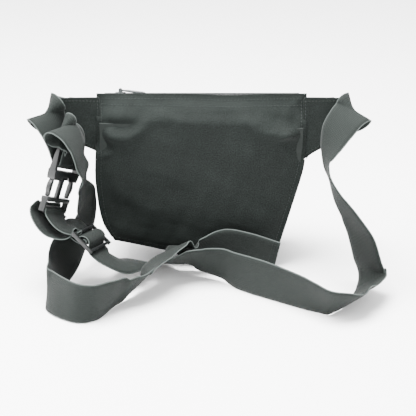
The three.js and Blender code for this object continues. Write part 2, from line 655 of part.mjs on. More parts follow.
// A smooth curve through rows of numbers, spaced by the square root of their distance apart.
function through(rows, count) {
  const distance = (a, b) => Math.hypot(...a.map((n, i) => n - b[i]));
  const mix = (a, b, t, from, to) => a.map((n, i) => (n * (to - t) + b[i] * (t - from)) / (to - from));
  const beyond = (a, b) => a.map((n, i) => 2 * n - b[i]);
  const all = [beyond(rows[0], rows[1]), ...rows, beyond(rows.at(-1), rows.at(-2))];
  const curve = [];
  for (let i = 1; i < all.length - 2; i++) {
    const [p, q, r, s] = all.slice(i - 1, i + 3);
    const a = Math.sqrt(distance(p, q));
    const b = a + Math.sqrt(distance(q, r));
    const c = b + Math.sqrt(distance(r, s));
    for (let k = 0; k < count; k++) {
      const t = lerp(a, b, k / count);
      const middle = mix(q, r, t, a, b);
      const before = mix(mix(p, q, t, 0, a), middle, t, 0, b);
      curve.push(mix(before, mix(middle, mix(r, s, t, b, c), t, a, c), t, a, b));
    }
  }
  return [...curve, rows.at(-1)];
}

// The webbing's cross-sections along its route; one that would sink into the ground rests on it.
function belt(route) {
  const turned = route.map((row) => [
    ...row.slice(0, 3),
    ...new THREE.Vector3(...row.slice(3)).setLength(WEBBING_WIDTH / 2).toArray(),
  ]);
  const curve = through(turned, BELT_STEPS);
  const point = (i) => new THREE.Vector3(...curve[THREE.MathUtils.clamp(i, 0, curve.length - 1)]);
  return sweep(
    curve.map((row, i) => {
      const forward = point(i + 1).sub(point(i - 1)).normalize();
      const across = new THREE.Vector3(...row.slice(3));
      across.addScaledVector(forward, -across.dot(forward)).setLength(WEBBING_WIDTH / 2);
      const normal = forward.clone().cross(across).setLength(WEBBING_THICK / 2);
      const lift = Math.max(0, REST_HEIGHT + Math.abs(across.z) + Math.abs(normal.z) - row[2]);
      const middle = new THREE.Vector3(row[0], row[1], row[2] + lift);
      const corners = [[-1, -1], [1, -1], [1, 1], [-1, 1]];
      return corners.map(([a, n]) => middle.clone().addScaledVector(across, a).addScaledVector(normal, n).toArray());
    }),
  );
}

addMesh("belt_left", belt(LEFT_ROUTE), "webbing");
addMesh("belt_right", belt(RIGHT_ROUTE), "webbing");

// The origin is under the middle of the pack's own footprint, its belts and buckle left out.
bag.position.set(-2, -9.4, 0);

export default bag;
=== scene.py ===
"""A soft waist pack with webbing belts, a side-release buckle and a strap adjuster."""

import logging
import math
from dataclasses import dataclass, field
from enum import Enum
from typing import Callable, Sequence

import bmesh
import bpy
import numpy as np
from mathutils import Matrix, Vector


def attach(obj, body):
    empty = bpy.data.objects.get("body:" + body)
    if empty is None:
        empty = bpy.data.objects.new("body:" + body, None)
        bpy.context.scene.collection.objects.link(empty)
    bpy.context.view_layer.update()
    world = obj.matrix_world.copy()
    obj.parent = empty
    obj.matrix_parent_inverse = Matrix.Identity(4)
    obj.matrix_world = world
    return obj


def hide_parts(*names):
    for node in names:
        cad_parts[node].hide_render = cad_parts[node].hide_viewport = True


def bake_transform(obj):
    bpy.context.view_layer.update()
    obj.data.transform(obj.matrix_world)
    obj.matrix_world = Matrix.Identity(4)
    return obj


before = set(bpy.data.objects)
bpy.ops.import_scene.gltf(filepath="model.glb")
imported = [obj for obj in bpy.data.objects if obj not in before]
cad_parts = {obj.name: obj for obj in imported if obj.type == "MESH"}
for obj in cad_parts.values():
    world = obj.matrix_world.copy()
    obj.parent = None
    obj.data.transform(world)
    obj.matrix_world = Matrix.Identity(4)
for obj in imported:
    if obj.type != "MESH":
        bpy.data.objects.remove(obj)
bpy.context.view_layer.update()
LOG = logging.getLogger("waist_pack")

MM = 0.001
# The origin lies under the middle of the pack's footprint, this far from where sizes are counted.
FOOTPRINT = np.array([-2.0, -9.4, 0.0])
BAG_HEIGHT = 172.0
WEBBING_WIDTH = 38.0
WEBBING_THICK = 1.5
FABRIC = 1.6
FOOT_OF_WINGTIP = 135.0
TOP_OF_WINGS = 173.5
# The padded back's depth, from its outer face to its lining.
BACK_LAYERS = 7.6
# The front pocket's sides, and the hood over its zip.
POCKET_RIGHT, POCKET_WIDTH = 62, 130
POCKET_LOW, POCKET_HEIGHT = 14, 78
POCKET_STAND = 9
HOOD_LOW, HOOD_HEIGHT = 102.2, 12.8
# The base's left and front edges, and how far it reaches from them.
BASE_LEFT, BASE_WIDTH = -81.5, 148.5
BASE_FRONT, BASE_DEPTH = 27.8, 57.2
# The body that carries each moving node; all others ride on the pack.
BODY_OF = {
    "main_zip_slider": "main_slider",
    "main_zip_puller": "main_puller",
    "pocket_zip_slider": "pocket_slider",
    "pocket_zip_puller": "pocket_puller",
    "buckle_plug": "plug",
    "plug_arm_far": "far_arm",
    "plug_arm_near": "near_arm",
}


class Tint(Enum):
    """The linear colours of the pack's materials."""

    BODY = (0.0014, 0.0020, 0.0017)
    BODY_WORN = (0.011, 0.0145, 0.013)
    WEBBING = (0.0055, 0.0070, 0.0063)
    # Painted highlight: the pale grey laid along both edges of the webbing; it is also the sewing
    # thread's random fleck colour.
    EDGE_HIGHLIGHT_AND_FLECK = (0.075, 0.088, 0.083)
    THREAD = (0.022, 0.026, 0.024)
    TAPE = (0.0012, 0.0014, 0.0014)
    PLASTIC = (0.0035, 0.0042, 0.0042)
    METAL = (0.05, 0.055, 0.055)
    LINING = (0.015, 0.017, 0.016)


def smooth(x: np.ndarray | float, low: float, high: float) -> np.ndarray:
    """A soft step from 0 to 1.

    Args:
        x: Where to read it.
        low: Below this it is 0.
        high: Above this it is 1.

    Returns:
        The step's value.
    """
    t = np.clip((np.asarray(x, float) - low) / (high - low), 0, 1)
    return t * t * (3 - 2 * t)


def bump(x: np.ndarray | float, middle: float, width: float) -> np.ndarray:
    """A soft hill.

    Args:
        x: Where to read it.
        middle: Its top.
        width: Its half-width.

    Returns:
        The hill's height, 1 at the top.
    """
    return np.exp(-(((np.asarray(x, float) - middle) / width) ** 2))


def ripple(x: np.ndarray, y: np.ndarray, size: float, seed: int) -> np.ndarray:
    """Uneven soft waves, the same each time.

    Args:
        x: First coordinate, in millimetres.
        y: Second coordinate, in millimetres.
        size: The waves' length in millimetres.
        seed: Which pattern.

    Returns:
        Heights from about -1 to 1.
    """
    random = np.random.default_rng(seed)
    total = np.zeros(np.broadcast(x, y).shape)
    for _ in range(9):
        angle = random.uniform(0, 2 * math.pi)
        scale = 2 * math.pi / (size * random.uniform(0.6, 1.7))
        shift = random.uniform(0, 2 * math.pi)
        total += np.sin(scale * (np.cos(angle) * x + np.sin(angle) * y) + shift)
    return total / 4.0


# ---- Meshes -------------------------------------------------------------------------------

Surface = Callable[[np.ndarray, np.ndarray], np.ndarray]


@dataclass
class Cloth:
    """A grid of points with its flat coordinates, which becomes a closed piece of fabric."""

    points: np.ndarray
    flat: np.ndarray

    @classmethod
    def over(cls, place: Surface, columns: int, rows: int) -> "Cloth":
        """Lays a cloth over a surface.

        Args:
            place: Gives points in millimetres for arrays of u and v from 0 to 1.
            columns: Points along u.
            rows: Points along v.

        Returns:
            The cloth, with flat coordinates measured along its middle lines.
        """
        u, v = np.meshgrid(np.linspace(0, 1, columns), np.linspace(0, 1, rows))
        points = place(u, v)
        across = np.linalg.norm(np.diff(points[rows // 2], axis=0), axis=1)
        along = np.linalg.norm(np.diff(points[:, columns // 2], axis=0), axis=1)
        a = np.concatenate([[0], np.cumsum(across)])
        b = np.concatenate([[0], np.cumsum(along)])
        return cls(points, np.stack(np.meshgrid(a, b), -1))

    def normals(self) -> np.ndarray:
        """The grid's unit normals."""
        du = np.gradient(self.points, axis=1)
        dv = np.gradient(self.points, axis=0)
        n = np.cross(du, dv)
        return n / np.maximum(np.linalg.norm(n, axis=-1, keepdims=True), 1e-9)

    def piece(self, name: str, thickness: float) -> bpy.types.Object:
        """Makes the closed piece.

        Args:
            name: The piece's name.
            thickness: How thick it is, in millimetres, measured back from its outer face.

        Returns:
            The mesh object.
        """
        rows, columns = self.points.shape[:2]
        inner = self.points - self.normals() * thickness
        co = np.concatenate([self.points.reshape(-1, 3), inner.reshape(-1, 3)])
        flat = np.concatenate([self.flat.reshape(-1, 2)] * 2)
        ids = np.arange(rows * columns).reshape(rows, columns)
        back = rows * columns
        faces = []
        for i in range(rows - 1):
            for j in range(columns - 1):
                quad = [ids[i, j], ids[i, j + 1], ids[i + 1, j + 1], ids[i + 1, j]]
                faces.append(quad)
                faces.append([k + back for k in reversed(quad)])
        rim = [*ids[0, :-1], *ids[:-1, -1], *ids[-1, :0:-1], *ids[:0:-1, 0]]
        for a, b in zip(rim, rim[1:] + rim[:1]):
            faces.append([a, a + back, b + back, b])
        return mesh_piece(name, co, faces, flat)


def in_frame(points: np.ndarray) -> list[list[float]]:
    """Turns points in millimetres into points of the frame, in metres."""
    return ((np.asarray(points, float) + FOOTPRINT) * MM).tolist()


def mesh_piece(
    name: str, points: np.ndarray, faces: Sequence[Sequence[int]], flat: np.ndarray | None = None
) -> bpy.types.Object:
    """Makes a mesh object from points in millimetres.

    Args:
        name: The object's name.
        points: Its vertices, in millimetres.
        faces: Its faces as lists of vertex numbers.
        flat: Flat coordinates of each vertex in millimetres, if the cloth has them.

    Returns:
        The object, in the scene, facing outwards.
    """
    mesh = bpy.data.meshes.new(name)
    whole = [[int(k) for k in face] for face in faces]
    mesh.from_pydata(in_frame(points), [], whole)
    if flat is not None:
        layer = mesh.uv_layers.new(name="cloth")
        ids = np.zeros(len(mesh.loops), np.int32)
        mesh.loops.foreach_get("vertex_index", ids)
        layer.data.foreach_set("uv", (np.asarray(flat)[ids] * MM).astype(np.float32).ravel())
    return finished(name, mesh)


def finished(name: str, mesh: bpy.types.Mesh) -> bpy.types.Object:
    """Puts a mesh in the scene with its faces outwards and shaded smooth."""
    shape = bmesh.new()
    shape.from_mesh(mesh)
    if shape.calc_volume(signed=True) < 0:
        bmesh.ops.reverse_faces(shape, faces=shape.faces[:])
    shape.to_mesh(mesh)
    shape.free()
    mesh.polygons.foreach_set("use_smooth", [True] * len(mesh.polygons))
    obj = bpy.data.objects.new(name, mesh)
    bpy.context.scene.collection.objects.link(obj)
    return obj


def tube(name: str, path: np.ndarray, radius: float, sides: int = 8) -> bpy.types.Object:
    """A closed round piece along a path, such as a binding or a rolled seam.

    Args:
        name: The piece's name.
        path: Points in millimetres.
        radius: Half its width in millimetres.
        sides: Points round it.

    Returns:
        The mesh object.
    """
    path = np.asarray(path, float)
    forward = np.gradient(path, axis=0)
    forward /= np.linalg.norm(forward, axis=1, keepdims=True)
    side = np.cross(forward, [0.0, 1.0, 0.0])
    thin = np.linalg.norm(side, axis=1) < 0.2
    side[thin] = np.cross(forward[thin], [1.0, 0.0, 0.0])
    side /= np.linalg.norm(side, axis=1, keepdims=True)
    up = np.cross(side, forward)
    turn = np.linspace(0, 2 * math.pi, sides, endpoint=False)
    ring = [side * radius * math.cos(t) + up * radius * math.sin(t) for t in turn]
    points = np.concatenate([path + r for r in ring])
    count = len(path)
    faces = []
    for k in range(sides):
        a, b = k * count, ((k + 1) % sides) * count
        faces += [[a + i, a + i + 1, b + i + 1, b + i] for i in range(count - 1)]
    faces.append([k * count for k in range(sides)][::-1])
    faces.append([k * count + count - 1 for k in range(sides)])
    length = np.concatenate([[0], np.cumsum(np.linalg.norm(np.diff(path, axis=0), axis=1))])
    flat = np.concatenate([np.stack([np.full(count, k * radius), length], 1) for k in range(sides)])
    return mesh_piece(name, points, faces, flat)


def softened(name: str, node: str, width: float, segments: int = 2) -> bpy.types.Object:
    """A copy of a moulded node with rounded edges, in its place.

    Args:
        name: The new piece's name.
        node: The CAD node.
        width: The rounding, in millimetres.
        segments: Steps round each edge.

    Returns:
        The mesh object, which replaces the node.
    """
    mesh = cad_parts[node].data.copy()
    shape = bmesh.new()
    shape.from_mesh(mesh)
    bmesh.ops.remove_doubles(shape, verts=shape.verts, dist=1e-6)
    bmesh.ops.dissolve_limit(shape, angle_limit=math.radians(2), verts=shape.verts, edges=shape.edges)
    crisp = math.radians(28)
    sharp = [e for e in shape.edges if len(e.link_faces) == 2 and e.calc_face_angle(0) > crisp]
    rounding = {"offset": width * MM, "segments": segments, "profile": 0.5}
    bmesh.ops.bevel(shape, geom=sharp, affect="EDGES", clamp_overlap=True, **rounding)
    shape.to_mesh(mesh)
    shape.free()
    mesh.materials.clear()
    obj = finished(name, mesh)
    mesh.set_sharp_from_angle(angle=math.radians(40))
    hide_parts(node)
    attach(obj, BODY_OF.get(node, "pack"))
    return obj


# ---- Patterns -----------------------------------------------------------------------------


class Nodes:
    """A node tree with a short way to add a Math node."""

    tree: bpy.types.NodeTree

    def calc(self, kind: str, *values: bpy.types.NodeSocket | float) -> bpy.types.NodeSocket:
        """Adds a Math node.

        Args:
            kind: The operation.
            values: Sockets or numbers, one for each input.

        Returns:
            The node's result.
        """
        node = self.tree.nodes.new("ShaderNodeMath")
        node.operation = kind
        for k, value in enumerate(values):
            if isinstance(value, bpy.types.NodeSocket):
                self.tree.links.new(value, node.inputs[k])
            else:
                node.inputs[k].default_value = float(value)
        return node.outputs[0]

    def noise(
        self, vector: bpy.types.NodeSocket, scale: float, detail: float, roughness: float = 0.5
    ) -> bpy.types.Node:
        """Adds a Noise Texture node.

        Args:
            vector: The coordinates it reads.
            scale: Its scale.
            detail: Its detail.
            roughness: Its roughness.

        Returns:
            The node.
        """
        node = self.tree.nodes.new("ShaderNodeTexNoise")
        for key, value in (("Scale", scale), ("Detail", detail), ("Roughness", roughness)):
            node.inputs[key].default_value = value
        self.tree.links.new(vector, node.inputs["Vector"])
        return node

    def split(self, vector: bpy.types.NodeSocket) -> bpy.types.Node:
        """Adds a node that separates a vector's parts."""
        node = self.tree.nodes.new("ShaderNodeSeparateXYZ")
        self.tree.links.new(vector, node.inputs[0])
        return node


class Group(Nodes):
    """A shader node group that patterns share."""

    def __init__(self, name: str, numbers: dict[str, float], results: Sequence[str]) -> None:
        """Starts a group that reads a vector.

        Args:
            name: The group's name.
            numbers: Its other inputs, with their defaults.
            results: Its outputs' names.
        """
        self.tree = bpy.data.node_groups.new(name, "ShaderNodeTree")
        socket = self.tree.interface.new_socket
        socket(name="Vector", in_out="INPUT", socket_type="NodeSocketVector")
        for key, value in numbers.items():
            socket(name=key, in_out="INPUT", socket_type="NodeSocketFloat").default_value = value
        for key in results:
            socket(name=key, in_out="OUTPUT", socket_type="NodeSocketFloat")
        self.given = self.tree.nodes.new("NodeGroupInput").outputs
        self.wanted = self.tree.nodes.new("NodeGroupOutput").inputs

    def give(self, **results: bpy.types.NodeSocket) -> bpy.types.NodeTree:
        """Links the group's outputs and returns its tree."""
        for key, socket in results.items():
            self.tree.links.new(socket, self.wanted[key])
        return self.tree


def weave_group() -> bpy.types.NodeTree:
    """Over-and-under threads with uneven yarn.

    Returns:
        A group that gives the threads' height, the gaps between them and the yarn's flecks.
    """
    g = Group("weave", {"Across": 2000.0, "Along": 2000.0, "Slub": 0.5}, ("Height", "Gap", "Fleck"))
    place = g.split(g.given["Vector"])
    wobble = g.noise(g.given["Vector"], 160.0, 2.0)
    drift = g.calc("MULTIPLY", g.calc("SUBTRACT", wobble.outputs["Fac"], 0.5), g.given["Slub"])
    warp, weft = (
        g.calc("SINE", g.calc("ADD", g.calc("MULTIPLY", place.outputs[axis], g.given[count]), drift))
        for axis, count in (("X", "Across"), ("Y", "Along"))
    )
    height = g.calc("ADD", g.calc("MULTIPLY", g.calc("MULTIPLY", warp, weft), 0.5), 0.5)
    raised = g.calc("ADD", g.calc("ABSOLUTE", warp), g.calc("ABSOLUTE", weft))
    gap = g.calc("SUBTRACT", 1.0, g.calc("MINIMUM", 1.0, raised))
    fleck = g.noise(g.given["Vector"], 900.0, 3.0, 0.7)
    return g.give(Height=height, Gap=gap, Fleck=fleck.outputs["Fac"])


def wear_group() -> bpy.types.NodeTree:
    """Rubbed patches and dust.

    Returns:
        A group that gives a mask of the worn places and the cloud that it comes from.
    """
    g = Group("wear", {"Scale": 18.0, "Amount": 0.5}, ("Mask", "Cloud"))
    cloud = g.noise(g.given["Vector"], 5.0, 6.0, 0.62)
    g.tree.links.new(g.given["Scale"], cloud.inputs["Scale"])
    patch = g.tree.nodes.new("ShaderNodeMapRange")
    patch.inputs["From Min"].default_value = 0.48
    patch.inputs["From Max"].default_value = 0.72
    g.tree.links.new(cloud.outputs["Fac"], patch.inputs["Value"])
    mask = g.calc("MULTIPLY", patch.outputs["Result"], g.given["Amount"])
    return g.give(Mask=mask, Cloud=cloud.outputs["Fac"])


class Paint(Nodes):
    """Starts a material and gives short ways to reach its parts."""

    def __init__(self, name: str, roughness: float, sheen: float = 0.0, metallic: float = 0.0) -> None:
        """Makes a material with a Principled shader.

        Args:
            name: The material's name.
            roughness: The shader's roughness.
            sheen: The shader's sheen weight. Cloth has some, and less of a mirror's shine.
            metallic: The shader's metallic.
        """
        self.material = bpy.data.materials.new(name)
        self.material.use_nodes = True
        self.tree = self.material.node_tree
        self.shader = self.tree.nodes["Principled BSDF"]
        values = {"Roughness": roughness, "Metallic": metallic}
        if sheen:
            values |= {"Specular IOR Level": 0.1, "Sheen Weight": sheen, "Sheen Roughness": 0.45}
        for key, value in values.items():
            self.shader.inputs[key].default_value = value

    def place(self, source: str) -> bpy.types.NodeSocket:
        """The coordinates a pattern reads: "UV" for the cloth's own, or "Object"."""
        if source == "UV":
            node = self.tree.nodes.new("ShaderNodeUVMap")
            node.uv_map = "cloth"
            return node.outputs["UV"]
        return self.tree.nodes.new("ShaderNodeTexCoord").outputs["Object"]

    def group(
        self, tree: bpy.types.NodeTree, vector: bpy.types.NodeSocket, **values: float
    ) -> bpy.types.Node:
        """Places a pattern group.

        Args:
            tree: The group.
            vector: The coordinates it reads.
            values: Its other inputs by name.

        Returns:
            The group node.
        """
        node = self.tree.nodes.new("ShaderNodeGroup")
        node.node_tree = tree
        self.tree.links.new(vector, node.inputs["Vector"])
        for key, value in values.items():
            node.inputs[key].default_value = value
        return node

    def mix(
        self,
        low: bpy.types.NodeSocket | tuple,
        high: bpy.types.NodeSocket | tuple,
        share: bpy.types.NodeSocket,
    ) -> bpy.types.NodeSocket:
        """Mixes two colours.

        Args:
            low: A colour or a colour socket.
            high: A colour or a colour socket.
            share: How much of the second.

        Returns:
            The mixed colour.
        """
        node = self.tree.nodes.new("ShaderNodeMix")
        node.data_type = "RGBA"
        self.tree.links.new(share, node.inputs[0])
        for k, value in ((6, low), (7, high)):
            if isinstance(value, bpy.types.NodeSocket):
                self.tree.links.new(value, node.inputs[k])
            else:
                node.inputs[k].default_value = (*value, 1.0)
        return node.outputs[2]

    def relief(self, height: bpy.types.NodeSocket, distance: float) -> None:
        """Raises the surface by a height.

        Args:
            height: The height socket.
            distance: The height of 1, in millimetres.
        """
        node = self.tree.nodes.new("ShaderNodeBump")
        node.inputs["Distance"].default_value = distance * MM
        self.tree.links.new(height, node.inputs["Height"])
        self.tree.links.new(node.outputs["Normal"], self.shader.inputs["Normal"])

    def colour(self, value: bpy.types.NodeSocket) -> bpy.types.Material:
        """Sets the colour and returns the material."""
        self.tree.links.new(value, self.shader.inputs["Base Color"])
        return self.material


@dataclass(frozen=True)
class Canvas:
    """Woven fabric: its colours, thread count and gloss."""

    name: str = "body_canvas"
    tint: Tint = Tint.BODY
    worn: Tint = Tint.BODY_WORN
    threads: float = 5200.0
    relief: float = 0.12
    roughness: float = 0.82
    sheen: float = 0.02
    source: str = "UV"

    def made(self, weave: bpy.types.NodeTree, wear: bpy.types.NodeTree) -> bpy.types.Material:
        """Builds the material from the weave and wear groups."""
        p = Paint(self.name, self.roughness, self.sheen)
        counts = {"Across": self.threads, "Along": self.threads * 0.92}
        cloth = p.group(weave, p.place(self.source), Slub=2.0, **counts)
        rubbed = p.group(wear, p.place("Object"), Scale=16.0, Amount=0.5)
        fleck = cloth.outputs["Fleck"]
        speck = p.calc("MULTIPLY", p.calc("SUBTRACT", fleck, 0.40), 3.0)
        share = p.calc("ADD", p.calc("MULTIPLY", rubbed.outputs["Cloud"], 0.35), speck)
        fibre = p.mix(self.tint.value, self.worn.value, share)
        # Painted shade: the gaps between the threads are darkened towards 45 % of the tint.
        between = tuple(0.45 * c for c in self.tint.value)
        p.relief(p.calc("ADD", cloth.outputs["Height"], p.calc("MULTIPLY", fleck, 0.9)), self.relief)
        return p.colour(p.mix(fibre, between, p.calc("MULTIPLY", cloth.outputs["Gap"], 0.7)))


@dataclass(frozen=True)
class Webbing:
    """Belt webbing: ribs along it, fine crossing yarns and a painted highlight along both edges."""

    name: str = "belt_webbing"
    rib: float = 1.9
    relief: float = 0.16
    roughness: float = 0.78
    sheen: float = 0.03

    def made(self, weave: bpy.types.NodeTree, wear: bpy.types.NodeTree) -> bpy.types.Material:
        """Builds the material from the weave and wear groups."""
        p = Paint(self.name, self.roughness, self.sheen)
        cloth = p.place("UV")
        place = p.split(cloth)
        yarn = p.group(weave, cloth, Across=5600.0, Along=6200.0, Slub=2.4)
        rubbed = p.group(wear, p.place("Object"), Scale=22.0, Amount=0.4)
        rib = p.calc("SINE", p.calc("MULTIPLY", place.outputs["X"], 2 * math.pi / (self.rib * MM)))
        rows = p.calc("MULTIPLY", place.outputs["Y"], 4200.0)
        slant = p.calc("ADD", rows, p.calc("MULTIPLY", rib, 1.6))
        twill = p.calc("MULTIPLY", p.calc("SINE", slant), 0.4)
        fine = p.calc("ADD", twill, yarn.outputs["Height"])
        p.relief(p.calc("ADD", p.calc("MULTIPLY", rib, 0.5), fine), self.relief)
        fleck = p.calc("MULTIPLY", p.calc("SUBTRACT", yarn.outputs["Fleck"], 0.4), 0.9)
        share = p.calc("ADD", fleck, p.calc("MULTIPLY", rubbed.outputs["Cloud"], 0.3))
        face = p.mix(Tint.WEBBING.value, tuple(3.0 * c for c in Tint.WEBBING.value), share)
        # Painted highlight: within about a millimetre of each edge the colour is mixed up to 60 %
        # towards the pale highlight grey.
        half = WEBBING_WIDTH * MM / 2
        edge = p.tree.nodes.new("ShaderNodeMapRange")
        edge.inputs["From Min"].default_value = half - 1.1 * MM
        edge.inputs["From Max"].default_value = half - 0.3 * MM
        side = p.calc("ABSOLUTE", p.calc("SUBTRACT", place.outputs["X"], half))
        p.tree.links.new(side, edge.inputs["Value"])
        pale = p.calc("MULTIPLY", edge.outputs["Result"], 0.6)
        return p.colour(p.mix(face, Tint.EDGE_HIGHLIGHT_AND_FLECK.value, pale))


@dataclass(frozen=True)
class Moulded:
    """Moulded plastic or coated metal, with a fine grain and rubbed patches."""

    name: str
    tint: Tint
    roughness: float = 0.42
    metallic: float = 0.0
    grain: float = 0.02

    def made(self, wear: bpy.types.NodeTree) -> bpy.types.Material:
        """Builds the material from the wear group."""
        p = Paint(self.name, self.roughness, metallic=self.metallic)
        place = p.place("Object")
        rubbed = p.group(wear, place, Scale=120.0, Amount=0.7)
        p.relief(p.noise(place, 2600.0, 2.0).outputs["Fac"], self.grain)
        uneven = p.calc("ADD", p.calc("MULTIPLY", rubbed.outputs["Cloud"], 0.25), self.roughness - 0.12)
        p.tree.links.new(uneven, p.shader.inputs["Roughness"])
        light = tuple(1.7 * c for c in self.tint.value)
        return p.colour(p.mix(self.tint.value, light, rubbed.outputs["Mask"]))


WOVEN = {
    "body": Canvas(),
    "trim": Canvas("binding_canvas", threads=6400.0, relief=0.08),
    "tape": Canvas("zip_tape", Tint.TAPE, Tint.BODY, threads=7800.0, relief=0.06, source="Object"),
    "lining": Canvas("lining_weave", Tint.LINING, threads=7000.0, relief=0.05, source="Object"),
    "webbing": Webbing(),
    "thread": Canvas("sewing_thread", Tint.THREAD, Tint.EDGE_HIGHLIGHT_AND_FLECK, relief=0.03),
}
HARD = {
    "plastic": Moulded("buckle_plastic", Tint.PLASTIC),
    "coil": Moulded("zip_coil_plastic", Tint.TAPE, roughness=0.35),
    "metal": Moulded("coated_zip_metal", Tint.METAL, roughness=0.34, metallic=0.85, grain=0.01),
}


@dataclass
class Finishes:
    """Every material of the pack, made once."""

    materials: dict[str, bpy.types.Material] = field(default_factory=dict)

    def make(self) -> None:
        """Builds them all."""
        weave, wear = weave_group(), wear_group()
        self.materials = {key: finish.made(weave, wear) for key, finish in WOVEN.items()}
        self.materials |= {key: finish.made(wear) for key, finish in HARD.items()}

    def dress(self, obj: bpy.types.Object, key: str) -> None:
        """Puts one material on a piece, in place of what it has."""
        obj.data.materials.clear()
        obj.data.materials.append(self.materials[key])

    def on(self, obj: bpy.types.Object, key: str, slot: str) -> bpy.types.Object:
        """Dresses a piece.

        Args:
            obj: The piece.
            key: Which finish.
            slot: Not used.

        Returns:
            The piece.
        """
        self.dress(obj, key)
        return obj


# ---- Repeated parts -----------------------------------------------------------------------


class Repeat(Enum):
    """What is set along a line."""

    STITCH = "stitch"
    TOOTH = "tooth"


def repeat_tree(kind: Repeat) -> bpy.types.NodeTree:
    """Nodes that set stitches or zip teeth along a line of edges.

    Args:
        kind: Which of the two.

    Returns:
        The node tree, with inputs Spacing, Length, Width, Height, Seed and Finish.
    """
    tree = bpy.data.node_groups.new(kind.value + "_row", "GeometryNodeTree")
    add = tree.interface.new_socket
    add(name="Geometry", in_out="INPUT", socket_type="NodeSocketGeometry")
    for key, value in (("Spacing", 0.003), ("Length", 0.002), ("Width", 0.0004), ("Height", 0.0004)):
        add(name=key, in_out="INPUT", socket_type="NodeSocketFloat").default_value = value
    add(name="Seed", in_out="INPUT", socket_type="NodeSocketInt").default_value = 5
    add(name="Finish", in_out="INPUT", socket_type="NodeSocketMaterial")
    add(name="Geometry", in_out="OUTPUT", socket_type="NodeSocketGeometry")
    new, link = tree.nodes.new, tree.links.new
    start, end = new("NodeGroupInput"), new("NodeGroupOutput")
    curve, steps = new("GeometryNodeMeshToCurve"), new("GeometryNodeResampleCurve")
    steps.mode = "LENGTH"
    link(start.outputs["Geometry"], curve.inputs["Mesh"])
    link(curve.outputs["Curve"], steps.inputs["Curve"])
    link(start.outputs["Spacing"], steps.inputs["Length"])
    points = new("GeometryNodeCurveToPoints")
    points.mode = "EVALUATED"
    link(steps.outputs["Curve"], points.inputs["Curve"])
    ball = new("GeometryNodeMeshUVSphere")
    ball.inputs["Segments"].default_value = 6
    ball.inputs["Rings"].default_value = 4
    ball.inputs["Radius"].default_value = 0.5
    shape = new("GeometryNodeTransform")
    size = new("ShaderNodeCombineXYZ")
    link(start.outputs["Width"], size.inputs["X"])
    link(start.outputs["Height"], size.inputs["Y"])
    link(start.outputs["Length"], size.inputs["Z"])
    link(ball.outputs["Mesh"], shape.inputs["Geometry"])
    link(size.outputs[0], shape.inputs["Scale"])
    place = new("GeometryNodeInstanceOnPoints")
    link(points.outputs["Points"], place.inputs["Points"])
    link(shape.outputs["Geometry"], place.inputs["Instance"])
    link(points.outputs["Rotation"], place.inputs["Rotation"])
    uneven = new("FunctionNodeRandomValue")
    uneven.data_type = "FLOAT"
    uneven.inputs[2].default_value = 0.92
    uneven.inputs[3].default_value = 1.06
    link(start.outputs["Seed"], uneven.inputs["Seed"])
    link(uneven.outputs[1], place.inputs["Scale"])
    real = new("GeometryNodeRealizeInstances")
    dress = new("GeometryNodeSetMaterial")
    link(place.outputs["Instances"], real.inputs["Geometry"])
    link(real.outputs["Geometry"], dress.inputs["Geometry"])
    link(start.outputs["Finish"], dress.inputs["Material"])
    link(dress.outputs["Geometry"], end.inputs["Geometry"])
    return tree


@dataclass
class Rows:
    """Sets stitches and teeth along lines, one piece for each call."""

    finishes: Finishes
    trees: dict[Repeat, bpy.types.NodeTree] = field(default_factory=dict)

    def set(
        self,
        name: str,
        lines: Sequence[np.ndarray],
        kind: Repeat,
        key: str,
        slot: str,
        spacing: float,
        size: tuple[float, float, float],
        seed: int = 5,
    ) -> bpy.types.Object:
        """Makes one piece of many small ones.

        Args:
            name: The piece's name.
            lines: Lines of points in millimetres.
            kind: Stitches or teeth.
            key: Which finish.
            slot: Not used.
            spacing: From one to the next, in millimetres.
            size: Width, height and length of each, in millimetres.
            seed: Which uneven pattern.

        Returns:
            The piece.
        """
        if kind not in self.trees:
            self.trees[kind] = repeat_tree(kind)
        mesh = bpy.data.meshes.new(name + "_line")
        points: list[list[float]] = []
        edges: list[tuple[int, int]] = []
        for line in lines:
            first = len(points)
            points += in_frame(line)
            edges += [(first + i, first + i + 1) for i in range(len(line) - 1)]
        mesh.from_pydata(points, edges, [])
        guide = bpy.data.objects.new(name + "_line", mesh)
        bpy.context.scene.collection.objects.link(guide)
        made = guide.modifiers.new("rows", "NODES")
        made.node_group = self.trees[kind]
        values = {
            "Spacing": spacing * MM,
            "Width": size[0] * MM,
            "Height": size[1] * MM,
            "Length": size[2] * MM,
            "Seed": seed,
            "Finish": self.finishes.materials[key],
        }
        for item in self.trees[kind].interface.items_tree:
            if item.item_type == "SOCKET" and item.in_out == "INPUT" and item.name in values:
                made[item.identifier] = values[item.name]
        graph = bpy.context.evaluated_depsgraph_get()
        result = bpy.data.meshes.new_from_object(guide.evaluated_get(graph))
        bpy.data.objects.remove(guide, do_unlink=True)
        result.name = name
        if not result.materials:
            result.materials.append(self.finishes.materials[key])
        obj = bpy.data.objects.new(name, result)
        bpy.context.scene.collection.objects.link(obj)
        result.polygons.foreach_set("use_smooth", [True] * len(result.polygons))
        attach(obj, "pack")
        LOG.info("%s: %d faces", name, len(result.polygons))
        return obj


# ---- The belts ----------------------------------------------------------------------------

